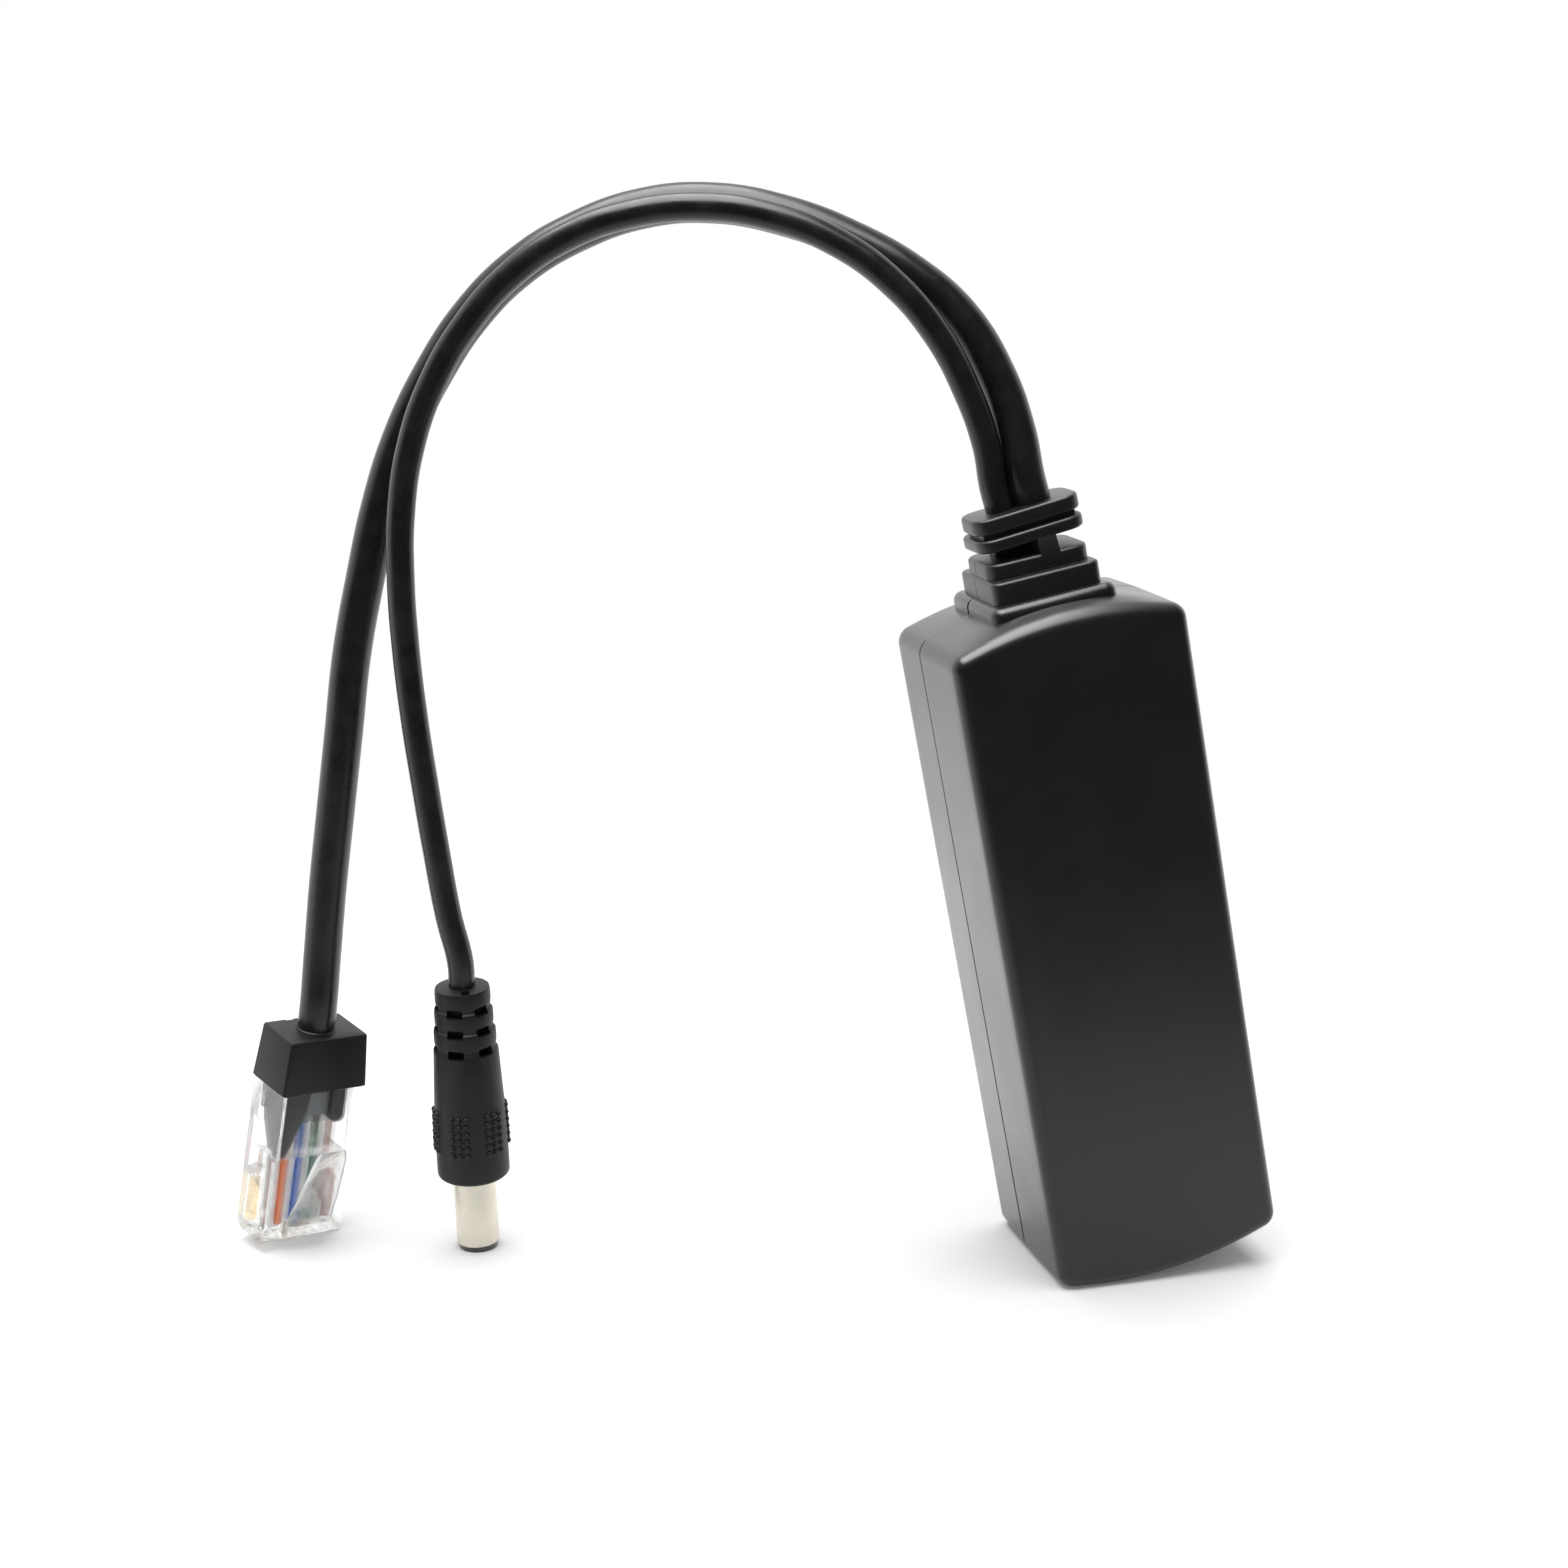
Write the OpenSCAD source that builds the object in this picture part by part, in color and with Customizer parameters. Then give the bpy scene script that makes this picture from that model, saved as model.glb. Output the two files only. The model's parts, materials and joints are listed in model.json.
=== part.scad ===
// Power splitter for a network cable.
// A small closed box takes data and power at a socket in its lower end. Two short cords leave
// its upper end through one ribbed strain relief. One ends in a network plug, the other in a
// round power plug. The box stands leaning on the rim of its bowed lower end, and the cords
// arch over to the left and stand on the tips of the two plugs.
// Housing pieces are drawn in the housing's own frame: X across the face, Y from the front
// face to the back, Z along the length, with the origin midway along the lower end.

/* [Housing] */
// Width across the face
housing_w = 30; // [28:0.5:40]
// Depth from front to back
housing_d = 23; // [22:0.5:30]
// Straight length of the sides
housing_l = 82; // [78:1:120]
// How far each end bows out
end_crown = 2.2; // [1:0.1:4]
// Radius of the four corners seen from the front
corner_r = 2.2; // [1:0.1:3]
// Radius round the front and back faces
face_r = 1.6; // [0.6:0.1:2]
// Wall thickness
wall = 1.8; // [1.2:0.1:2.4]
// Depth of the front shell, from the front face to the seam
front_shell_d = 13; // [12:0.5:14]
// Width of the groove along the seam
seam_gap = 0.2; // [0.1:0.05:0.4]
// Height of the locating lip at the seam
lip_h = 1.2; // [0.8:0.1:2]
// Thickness of the locating lip
lip_t = 0.8; // [0.5:0.1:1]
// Lean of the housing to the left
lean_deg = 11; // [5:0.5:15]

/* [Collar round the cable exit] */
// Width of the collar
collar_w = 16; // [15:0.5:20]
// Depth of the collar
collar_d = 16; // [14.5:0.5:18]
// Height of the collar's top above the straight sides
collar_h = 3.9; // [3.4:0.1:5]
// Radius round the collar's top
collar_r = 0.8; // [0.4:0.1:1]

/* [Strain relief] */
// Width of the relief's rings
relief_w = 13.7; // [12.5:0.1:14.5]
// Depth of the base block
relief_base_d = 12.5; // [11:0.1:13]
// Height of the base block
base_block_h = 2.7; // [2:0.1:3]
// Depth of the step above the base block
relief_step_d = 9.2; // [8:0.1:10.5]
// Height of the step
step_h = 1.9; // [1.4:0.1:2.4]
// Depth of the middle ring
middle_ring_d = 8.2; // [7:0.1:9]
// Depth of the top ring
top_ring_d = 7.2; // [6.5:0.1:8]
// Thickness of a ring
ring_h = 1.5; // [1:0.1:1.8]
// Gap between two rings
groove_h = 1.3; // [0.8:0.1:1.4]
// Width of the rib on the front that bridges the lower gap
rib_w = 2; // [1:0.1:3]
// How far the relief's rings bend to the left
relief_bend_deg = 5.7; // [0:0.1:8]

/* [Cords] */
// Diameter of the network cord
network_cord_d = 4.8; // [4:0.1:5]
// Diameter of the power cord
power_cord_d = 3.4; // [2.8:0.1:3.6]

/* [Circuit board] */
// Room between the board and the side walls
board_side_room = 0.7; // [0.3:0.1:2]
// Room between the board and the top of the straight sides
board_end_room = 6.5; // [5:0.5:8]
// Thickness of the board
board_t = 1.6; // [1:0.1:2]
// Height of the posts that carry the board
post_h = 2.2; // [1.8:0.1:2.8]
// Diameter of the posts
post_d = 3.2; // [2.4:0.1:4]
// Room left between the board and what clamps it
board_clearance = 0.15; // [0.1:0.05:0.3]

/* [Network socket] */
// Width of the socket's block
socket_w = 15.8; // [15:0.1:17]
// Length of the socket's block
socket_l = 15.5; // [14:0.5:18]
// Height of the socket's block above the board
socket_h = 12.6; // [12:0.1:13]
// Width of the socket's opening
opening_w = 11.9; // [11.8:0.05:12.2]
// Height of the socket's opening
opening_h = 7; // [6.8:0.1:7.4]
// Depth of the socket's opening
opening_l = 12; // [10:0.5:13]
// Width of the channel for the plug's latch
latch_channel_w = 6.4; // [6.2:0.1:7]
// Depth of the channel for the plug's latch
latch_channel_h = 1.8; // [1.4:0.1:2.2]
// Room between the socket and the shells
socket_clearance = 0.15; // [0.1:0.05:0.3]

/* [Network plug] */
// Width of the clear plug
plug_w = 11.68; // [11.5:0.02:11.8]
// Length of the clear plug
plug_l = 21.4; // [20:0.1:23]
// Thickness of the clear plug behind the step
plug_d = 7.8; // [7.4:0.1:8.2]
// Thickness of the plug's nose
nose_d = 6.8; // [6.4:0.1:7]
// Height of the step behind the nose
nose_l = 12.5; // [11:0.5:13]
// Width of the latch at its root
latch_root_w = 6.2; // [5.8:0.1:6.2]
// Width of the latch at its free end
latch_tip_w = 3.9; // [3:0.1:4.2]
// How far the free end stands off the nose
latch_lift = 4.2; // [3:0.1:5]
// Thickness of the latch
latch_t = 1.1; // [0.9:0.1:1.3]
// Spacing of the eight conductors
pin_pitch = 1.016; // [1:0.004:1.04]
// Diameter of an insulated conductor
conductor_d = 0.94; // [0.8:0.02:0.96]
// Thickness of a contact blade
blade_t = 0.35; // [0.3:0.05:0.4]
// Height of the moulded boot on the network cord
boot_h = 7.1; // [6:0.1:9]
// Width of the boot where it meets the plug
boot_w = 12.2; // [12:0.1:13]
// Depth of the boot where it meets the plug
boot_d = 8.2; // [8:0.1:9]
// How much narrower the boot is at its top
boot_taper = 1.1; // [0.4:0.1:1.5]
// Width of the window for the crimp bar
crimp_window_w = 8.4; // [7:0.1:9]
// Depth of the window for the crimp bar
crimp_window_d = 2; // [1:0.1:2.4]

/* [Power plug] */
// Outer diameter of the barrel
barrel_d = 5.5; // [5.4:0.1:5.6]
// Length of the barrel in front of the handle
barrel_l = 10.2; // [9:0.1:12]
// Wall of the barrel's sleeve
sleeve_t = 0.3; // [0.25:0.05:0.4]
// Bore for the centre pin
centre_bore_d = 2.1; // [2:0.05:2.5]
// Diameter of the handle at its front
handle_front_d = 9.3; // [8.5:0.1:11]
// Diameter of the handle midway along its grip
handle_middle_d = 9; // [8:0.1:10]
// Diameter of the handle behind its grip
handle_back_d = 8.2; // [7:0.1:8.8]
// Diameter of the handle's end disc
handle_end_d = 6.9; // [6:0.1:7.6]
// Length of the handle
handle_l = 26; // [24:0.5:30]
// Height of one ring of the handle's flexible end
handle_ring_h = 2.7; // [2:0.1:3]
// Number of flexible rings
handle_rings = 3; // [2:1:4]
// Number of pockets round each ring, and of groups of grip bumps below them
pockets_round = 6; // [4:1:8]
// Rows of bumps in a group
bump_rows = 6; // [3:1:8]
// Columns of bumps in a group
bump_columns = 3; // [1:1:4]
// Spacing of the rows and columns of bumps
bump_pitch = 1; // [0.7:0.1:1.4]
// Radius of a bump
bump_r = 0.4; // [0.3:0.05:0.5]

/* [Hidden] */

$fn = 48;
overlap = 0.01;
pins = 8;

// The bowed ends are arcs of one radius.
end_r = (pow(housing_w / 2, 2) + pow(end_crown, 2)) / (2 * end_crown);
end_centre = end_r - end_crown;
// The housing stands on the point of its lower arc that faces straight down.
housing_x = housing_l / 2 * sin(lean_deg);
housing_z = end_r - end_centre * cos(lean_deg);
front_y = -housing_d / 2;
seam_y = front_y + front_shell_d;
inner_front_y = front_y + wall;
inner_back_y = housing_d / 2 - wall;
// The collar and the relief follow the upper end.
collar_top = housing_l + collar_h;
relief_base_top = collar_top + base_block_h;
step_top = relief_base_top + step_h;
middle_ring_bottom = step_top + groove_h;
middle_ring_top = middle_ring_bottom + ring_h;
top_ring_bottom = middle_ring_top + groove_h;
relief_top = top_ring_bottom + ring_h;
// The necks stand back from the edges of the rings and reach a little into them.
neck_side = 1.1;
neck_front = 0.8;
neck_w = relief_w - 2 * neck_side;
neck_d = top_ring_d - 2 * neck_front;
neck_sink = 0.7;
ring_rim = 0.35;
ring_corner = 2.2;
rib_t = 1.4;
rib_u = 2.6;
// The relief's foot passes the end wall and widens into a flange inside it.
foot_inset = 0.75;
relief_foot_w = relief_w - 2 * foot_inset;
relief_foot_d = relief_base_d - 2 * foot_inset;
relief_fit = 0.1;
relief_flange_t = 1.5;
relief_flange_out = 1;
relief_hole_sink = 6;
// The two cords lie side by side in the relief.
cord_span = network_cord_d + power_cord_d;
power_cord_u = -cord_span / 2 + power_cord_d / 2;
network_cord_u = cord_span / 2 - network_cord_d / 2;
// The board stands on posts of the back shell.
board_back_y = inner_back_y - post_h;
board_front_y = board_back_y - board_t;
board_w = housing_w - 2 * (wall + board_side_room);
board_bottom = end_centre - sqrt(pow(end_r - wall, 2) - pow(board_w / 2, 2)) + board_clearance;
board_top = housing_l - board_end_room;
board_l = board_top - board_bottom;
post_inset = 2.4;
// The socket's block stands on the board and looks out of the lower end.
socket_sink = 0.8;
socket_roof = 1.4;
socket_face = -end_crown + socket_sink;
socket_y = board_front_y - socket_h / 2;
opening_y = board_front_y - socket_h + socket_roof + latch_channel_h + opening_h / 2;
// Sizes of the parts on the board as [width, height, length], and of the round ones.
data_transformer_size = [12.4, 5.8, 15];
core_size = [13, 6, 12.4];
rectifier_size = [6.4, 2.6, 4.8];
chip_size = [4, 1.6, 5];
diode_size = [4, 2.4, 6];
optocoupler_size = [4.6, 3.4, 4.4];
capacitor_d = 8;
capacitor_h = 11.5;
drum_d = 8;
drum_h = 8;
// The parts stand in rows above the socket and its posts, along both edges of the board.
board_edge = 0.4;
part_gap = 0.7;
left_edge = -board_w / 2 + board_edge;
right_edge = board_w / 2 - board_edge;
first_row = board_bottom + socket_l + post_inset + post_d / 2 + part_gap;
core_row = first_row + data_transformer_size[2] + part_gap;
chip_row = core_row + capacitor_d + part_gap;
choke_row = core_row + core_size[2] + part_gap;
output_row = chip_row + diode_size[2] + part_gap;
// Sizes inside the network plug.
plug_back_y = plug_d / 2;
nose_front_y = plug_back_y - nose_d;
nose_chamfer = 0.5;
back_chamfer = 0.9;
step_rise = 0.6;
conductor_y = 0.2;
channel_bottom = 1.6;
channel_d = 1.05;
cavity_bottom = 12;
cavity_w = 9.6;
cavity_d = 5.4;
blade_bottom = 1;
blade_top = 7;
blade_sink = 0.3;
window_bottom = 8.6;
window_top = 14.8;
window_flare = 0.6;
tongue_fit = 0.05;
// A notch in the boot's upper edge is left by the mould.
notch_w = 1.2;
notch_d = 0.5;
notch_x = -1.8;
// The boot's tongues start above the cavity's floor and part in an arch.
tongue_lift = 1.2;
conductor_top = cavity_bottom + 5;
boot_collar_h = 0.6;
boot_edge_r = 0.3;
// Latch of the network plug: gap under its root and slope of its start.
latch_gap = 1.1;
latch_start = 4.6;
// Sizes inside the power plug.
tip_l = 0.8;
shank_d = barrel_d - sleeve_t;
shank_l = 3.8;
sleeve_bore_d = barrel_d - 2 * sleeve_t;
shank_bore_d = shank_d - 2 * sleeve_t;
bore_step = 0.5;
centre_tube_d = centre_bore_d + 0.7;
centre_tube_l = barrel_l + 1.1;

function flat(list) = [for (part = list) for (item = part) item];
function arc(cx, cz, r, from, to, steps) =
    [for (i = [0:steps]) let (a = from + (to - from) * i / steps) [cx + r * cos(a), cz + r * sin(a)]];

// Sideways place of one of the eight conductors or contacts.
function pin_x(i) = (i - (pins - 1) / 2) * pin_pitch;

// Outline of the housing seen from the front, drawn inside the outer edge by inset.
function housing_outline(inset, corner_steps = 3, end_steps = 12) =
    let (
        r = max(corner_r - inset, 0.3),
        half = housing_w / 2 - inset - r,
        bow = end_r - inset - r,
        swing = asin(half / bow),
        low = end_centre - bow * cos(swing),
        high = housing_l - low
    )
    flat([
        arc(-half, high, r, 180, 90 + swing, corner_steps),
        [for (i = [1:end_steps - 1]) let (a = -swing + 2 * swing * i / end_steps)
            [(bow + r) * sin(a), housing_l - end_centre + (bow + r) * cos(a)]],
        arc(half, high, r, 90 - swing, 0, corner_steps),
        arc(half, low, r, 0, -90 + swing, corner_steps),
        [for (i = [1:end_steps - 1]) let (a = swing - 2 * swing * i / end_steps)
            [(bow + r) * sin(a), end_centre - (bow + r) * cos(a)]],
        arc(-half, low, r, -90 - swing, -180, corner_steps)
    ]);

// Outline of a rounded rectangle.
function rounded_outline(w, d, r, steps = 3) = flat([
    arc(w / 2 - r, d / 2 - r, r, 0, 90, steps),
    arc(-w / 2 + r, d / 2 - r, r, 90, 180, steps),
    arc(-w / 2 + r, -d / 2 + r, r, 180, 270, steps),
    arc(w / 2 - r, -d / 2 + r, r, 270, 360, steps)
]);

// Solid through a stack of rings that each have the same number of points.
module skin(rings) {
    n = len(rings[0]);
    last = len(rings) - 1;
    sides = flat([for (k = [0:last - 1]) for (i = [0:n - 1])
        let (a = k * n + i, b = k * n + (i + 1) % n, c = a + n, d = b + n)
        [[a, d, b], [a, c, d]]]);
    bottom = [for (i = [0:n - 1]) i];
    top = [for (i = [n - 1:-1:0]) last * n + i];
    polyhedron(points = flat(rings), faces = concat([bottom], sides, [top]), convexity = 6);
}

// Block with a rounded outline, standing on z = bottom, with its upper and lower rims rounded.
module rounded_block(w, d, r, bottom, top, rim, low_rim = 0, steps = 3) {
    low = low_rim > 0 ? [for (k = [0:steps - 1]) let (a = 90 * k / steps)
        [low_rim * (1 - sin(a)), bottom + low_rim * (1 - cos(a))]] : [];
    high = [for (k = [0:steps]) let (a = 90 * k / steps)
        [rim * (1 - cos(a)), top - rim * (1 - sin(a))]];
    stations = concat(low_rim > 0 ? low : [[0, bottom]],
        low_rim > 0 ? [[0, bottom + low_rim]] : [], high);
    skin([for (s = stations)
        [for (p = rounded_outline(w - 2 * s[0], d - 2 * s[0], max(r - s[0], 0.2))) [p[0], p[1], s[1]]]]);
}

// Straight bar with a rectangular section, centred across X and Y.
module bar(w, d, from, to) {
    translate([-w / 2, -d / 2, from]) cube([w, d, to - from]);
}

// Places a child drawn in the housing's frame.
module in_housing() {
    translate([housing_x, 0, housing_z]) rotate([0, -lean_deg, 0]) children();
}

// Point of the housing's frame given in the model's frame.
function housing_point(u, v, w) = [
    housing_x + u * cos(lean_deg) - w * sin(lean_deg),
    v,
    housing_z + u * sin(lean_deg) + w * cos(lean_deg)
];

// Whole outer form of the housing, with both faces rounded.
module housing_form() {
    steps = 4;
    rims = [for (k = [0:steps]) let (a = 90 * k / steps) [face_r * (1 - sin(a)), face_r * (1 - cos(a))]];
    front = [for (s = rims) [s[0], front_y + s[1]]];
    back = [for (k = [steps:-1:0]) [rims[k][0], -front_y - rims[k][1]]];
    skin([for (s = concat(front, back)) [for (p = housing_outline(s[0])) [p[0], s[1], p[1]]]]);
}

// Straight prism of the housing's outline between two depths.
module housing_prism(inset, from, to) {
    translate([0, to, 0]) rotate([90, 0, 0])
        linear_extrude(to - from) polygon(housing_outline(inset));
}

// Hole for the strain relief's foot, with the seat for its flange below the end wall.
module relief_hole() {
    bar(relief_foot_w + 2 * relief_fit, relief_foot_d + 2 * relief_fit,
        housing_l - relief_hole_sink, collar_top + 1);
}

// Room for the socket's block, open through the lower end.
module socket_hole() {
    w = socket_w + 2 * socket_clearance;
    h = socket_h + 2 * socket_clearance;
    from = -end_crown - 1;
    translate([-w / 2, socket_y - h / 2, from]) cube([w, h, socket_face + socket_l + socket_clearance - from]);
}

// Raised block on the upper end round the relief.
module collar() {
    rounded_block(collar_w, collar_d, 2 * collar_r, housing_l, collar_top, collar_r);
}

// Posts stand at the four corners of the board.
module post_places() {
    for (x = [-1, 1]) for (z = [board_bottom + socket_l + post_inset, board_top - post_inset])
        translate([x * (board_w / 2 - post_inset), 0, z]) children();
}

// One post between two depths.
module post(from, to) {
    translate([0, to, 0]) rotate([90, 0, 0]) cylinder(d = post_d, h = to - from);
}

// Front shell with its lip and the posts that press on the board.
module front_shell() {
    color([0.1, 0.1, 0.11]) in_housing() difference() {
        union() {
            difference() {
                union() {
                    housing_form();
                    collar();
                }
                translate([-housing_w, seam_y - seam_gap / 2, -housing_l])
                    cube([2 * housing_w, housing_d, 3 * housing_l]);
                housing_prism(wall, inner_front_y, seam_y + 1);
            }
            difference() {
                housing_prism(wall - lip_t, seam_y - lip_h, seam_y + lip_h);
                housing_prism(wall, seam_y - lip_h - 1, seam_y + lip_h + 1);
            }
            post_places() post(inner_front_y - overlap, board_front_y - board_clearance);
        }
        relief_hole();
        socket_hole();
    }
}

// Back shell with the posts that carry the board.
module back_shell() {
    color([0.1, 0.1, 0.11]) in_housing() difference() {
        union() {
            difference() {
                union() {
                    housing_form();
                    collar();
                }
                translate([-housing_w, seam_y + seam_gap / 2 - 2 * housing_d, -housing_l])
                    cube([2 * housing_w, 2 * housing_d, 3 * housing_l]);
                housing_prism(wall, seam_y - 1, inner_back_y);
                housing_prism(wall - lip_t - relief_fit, seam_y - 1, seam_y + lip_h + relief_fit);
            }
            post_places() post(board_back_y, inner_back_y + overlap);
        }
        relief_hole();
        socket_hole();
    }
}

// Turns a child of the relief to the left about its own middle height.
module bent(tilt, pivot) {
    translate([0, 0, pivot]) rotate([0, -tilt, 0]) translate([0, 0, -pivot]) children();
}

// One ring of the flexible end.
module relief_ring(d, bottom, top) {
    bent(relief_bend_deg, (bottom + top) / 2)
        rounded_block(relief_w, d, ring_corner, bottom, top, ring_rim, ring_rim, 2);
}

// Neck between two rings.
module relief_neck(w, d, bottom, top, tilt) {
    bent(tilt, (bottom + top) / 2) bar(w, d, bottom, top);
}

// Moulded strain relief: foot and flange inside, then a block, a step and two flexible rings.
module strain_relief() {
    low_tilt = relief_bend_deg / 3;
    flange_top = housing_l + inner_end_z() - relief_fit;
    color([0.09, 0.09, 0.1]) in_housing() union() {
        bar(relief_foot_w, relief_foot_d, flange_top - overlap, collar_top + overlap);
        bar(relief_foot_w + 2 * relief_flange_out, relief_foot_d + 2 * relief_flange_out,
            flange_top - relief_flange_t, flange_top);
        rounded_block(relief_w, relief_base_d, 4 * ring_rim, collar_top, relief_base_top, ring_rim);
        rounded_block(relief_w - 2 * ring_rim, relief_step_d, 4 * ring_rim, relief_base_top - overlap, step_top,
            ring_rim);
        relief_neck(neck_w, neck_d, step_top - neck_sink, middle_ring_bottom + neck_sink, low_tilt);
        translate([rib_u, -middle_ring_d / 2 + rib_t / 2, 0])
            relief_neck(rib_w, rib_t, step_top - neck_sink, middle_ring_bottom + neck_sink, low_tilt);
        relief_ring(middle_ring_d, middle_ring_bottom, middle_ring_top);
        relief_neck(neck_w, neck_d, middle_ring_top - neck_sink, top_ring_bottom + neck_sink,
            relief_bend_deg);
        relief_ring(top_ring_d, top_ring_bottom, relief_top);
    }
}

// Height of the inner side of the upper end wall above the straight sides, at the flange's edge.
function inner_end_z() =
    let (r = end_r - wall, x = relief_foot_w / 2 + relief_flange_out)
    sqrt(r * r - x * x) - end_centre;

// Sweep of a round section along a route. The ends keep the directions given for them.
module tube(route, d, sides, first_dir, last_dir) {
    n = len(route);
    side_ref = [-0.3, -0.95, 0.05];
    rings = [for (i = [0:n - 1])
        let (
            raw = i == 0 ? first_dir : i == n - 1 ? last_dir : route[i + 1] - route[i - 1],
            t = raw / norm(raw),
            a0 = cross(t, side_ref),
            a = a0 / norm(a0),
            b = cross(t, a)
        )
        [for (k = [0:sides - 1]) let (q = 360 * (k + 0.5) / sides)
            route[i] + d / 2 * (a * cos(q) + b * sin(q))]];
    skin(rings);
}

// The relief's top carries both cords at a tilt of the lean and the bend together.
relief_tilt = lean_deg + relief_bend_deg;
relief_axis = [-sin(relief_tilt), 0, cos(relief_tilt)];
relief_side = [cos(relief_tilt), 0, sin(relief_tilt)];
top_ring_middle = (top_ring_bottom + relief_top) / 2;
function relief_exit(u) = housing_point(0, 0, top_ring_middle)
    + relief_axis * (relief_top - top_ring_middle) + relief_side * u;

// Place and tilt of the network plug, with its nose on the floor.
network_plug_x = -98.6;
network_plug_y = 32.2;
network_plug_turn = [8, 6, 25.7];
network_plug_z = plug_w / 2 * sin(network_plug_turn[1])
    - (nose_front_y + nose_chamfer) * sin(network_plug_turn[0]) * cos(network_plug_turn[1]);
// Place and tilt of the power plug, with its tip on the floor.
power_plug_x = -75.1;
power_plug_y = 22.6;
power_plug_turn = [2.8, -2, 0];
tip_d = barrel_d - 0.4;
power_plug_z = tip_d / 2 * sin(acos(cos(power_plug_turn[0]) * cos(power_plug_turn[1])));

// Vector turned the way rotate() turns a solid.
function turned(v, a) =
    let (
        p = [v[0], v[1] * cos(a[0]) - v[2] * sin(a[0]), v[1] * sin(a[0]) + v[2] * cos(a[0])],
        q = [p[0] * cos(a[1]) + p[2] * sin(a[1]), p[1], -p[0] * sin(a[1]) + p[2] * cos(a[1])]
    )
    [q[0] * cos(a[2]) - q[1] * sin(a[2]), q[0] * sin(a[2]) + q[1] * cos(a[2]), q[2]];

network_plug_axis = turned([0, 0, 1], network_plug_turn);
power_plug_axis = turned([0, 0, 1], power_plug_turn);
network_plug_end = [network_plug_x, network_plug_y, network_plug_z]
    + network_plug_axis * (plug_l + boot_h);
power_plug_end = [power_plug_x, power_plug_y, power_plug_z]
    + power_plug_axis * (barrel_l + handle_l);

// Straight run of a cord at each of its ends.
straight = 3;
// Points that the network cord passes, from the relief to its boot.
network_route = [
    [-10.7, 0.9, 106], [-12.9, 2.4, 112.8], [-16.8, 4.5, 119.5], [-22, 6.5, 124.2],
    [-28.7, 9.5, 128.2], [-36, 12.5, 131.1], [-44, 15.5, 132.6], [-52, 18, 132],
    [-59.8, 20.5, 129.2], [-66.3, 22.5, 125.2], [-71.8, 24, 119.8], [-76.6, 25.5, 112.7],
    [-80.5, 26.5, 105], [-83.4, 27.5, 96.5], [-85.6, 28.2, 87.5], [-87.6, 28.8, 78],
    [-89, 29.2, 68], [-90.4, 29.6, 58], [-91.8, 29.9, 48], [-93, 30, 38]
];
// Points that the power cord passes, from the relief to its plug.
power_route = [
    [-14.7, 0, 104.5], [-17.1, 0.4, 111], [-20.8, 1, 117.7], [-25.8, 2.4, 123.6],
    [-32, 4.6, 128.2], [-39.2, 7, 131.1], [-46.9, 9.5, 132.2], [-54.8, 12.2, 131.4],
    [-62.1, 15, 128.7], [-68.3, 17, 124.4], [-73.4, 18.6, 118.7], [-77.5, 19.8, 111.9],
    [-80.3, 20.6, 104.3], [-81.7, 21.1, 96.2], [-82, 21.4, 88], [-81.7, 21.5, 79.6],
    [-81, 21.5, 71], [-80, 21.4, 62.4], [-78.9, 21.2, 53.8], [-77.7, 21, 45.4]
];

// Thicker cord, from the relief to the network plug.
module network_cord() {
    start = relief_exit(network_cord_u);
    route = concat([start, start + relief_axis * straight], network_route,
        [network_plug_end + network_plug_axis * straight, network_plug_end]);
    color([0.11, 0.11, 0.12])
        tube(route, network_cord_d, 12, relief_axis, -network_plug_axis);
}

// Thinner cord, from the relief to the power plug.
module power_cord() {
    start = relief_exit(power_cord_u);
    route = concat([start, start + relief_axis * straight], power_route,
        [power_plug_end + power_plug_axis * straight, power_plug_end]);
    color([0.11, 0.11, 0.12])
        tube(route, power_cord_d, 8, relief_axis, -power_plug_axis);
}

// Ends of the two cords below the strain relief, inside the housing.
cord_end_top = housing_l + inner_end_z() - relief_fit - relief_flange_t;
cord_end_l = 4;

module cord_end(u, d) {
    color([0.11, 0.11, 0.12]) in_housing()
        translate([u, 0, cord_end_top - cord_end_l]) cylinder(d = d, h = cord_end_l);
}

module network_cord_end() {
    cord_end(network_cord_u, network_cord_d);
}

module power_cord_end() {
    cord_end(power_cord_u, power_cord_d);
}

// Board that carries the socket and the converter.
module circuit_board() {
    color([0.05, 0.3, 0.15]) in_housing()
        translate([-board_w / 2, board_front_y, board_bottom]) cube([board_w, board_t, board_l]);
}

// Box lying on the board, whose left edge is at x and whose lower end is at z.
module on_board(x, z, size) {
    translate([x, board_front_y - size[1], z]) cube(size);
}

// Room for a plug of the incoming cable, with the channel for its latch.
module socket_cavity() {
    translate([-opening_w / 2, opening_y - opening_h / 2, socket_face - overlap])
        cube([opening_w, opening_h, opening_l]);
    translate([-latch_channel_w / 2, opening_y - opening_h / 2 - latch_channel_h, socket_face - overlap])
        cube([latch_channel_w, latch_channel_h + overlap, opening_l]);
}

// Slots in the socket's back wall let the sprung contacts in.
slot_l = 2.5;

module socket_slot(i) {
    translate([pin_x(i) - blade_t / 2 - tongue_fit, opening_y - opening_h / 2, socket_face + opening_l - 1])
        cube([blade_t + 2 * tongue_fit, opening_h + 1, slot_l]);
}

// Socket's moulded block with the opening at its lower end.
module socket_block() {
    color([0.12, 0.12, 0.13]) in_housing() difference() {
        translate([-socket_w / 2, board_front_y - socket_h, socket_face])
            cube([socket_w, socket_h, socket_l]);
        socket_cavity();
        for (i = [0:pins - 1]) socket_slot(i);
    }
}

// A sprung contact runs along the cavity's board side and slants back into the opening.
contact_t = 0.3;
contact_gap = 0.05;
contact_run = 9.6;
contact_tip_run = 3.4;
contact_rise = 1.9;

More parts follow.
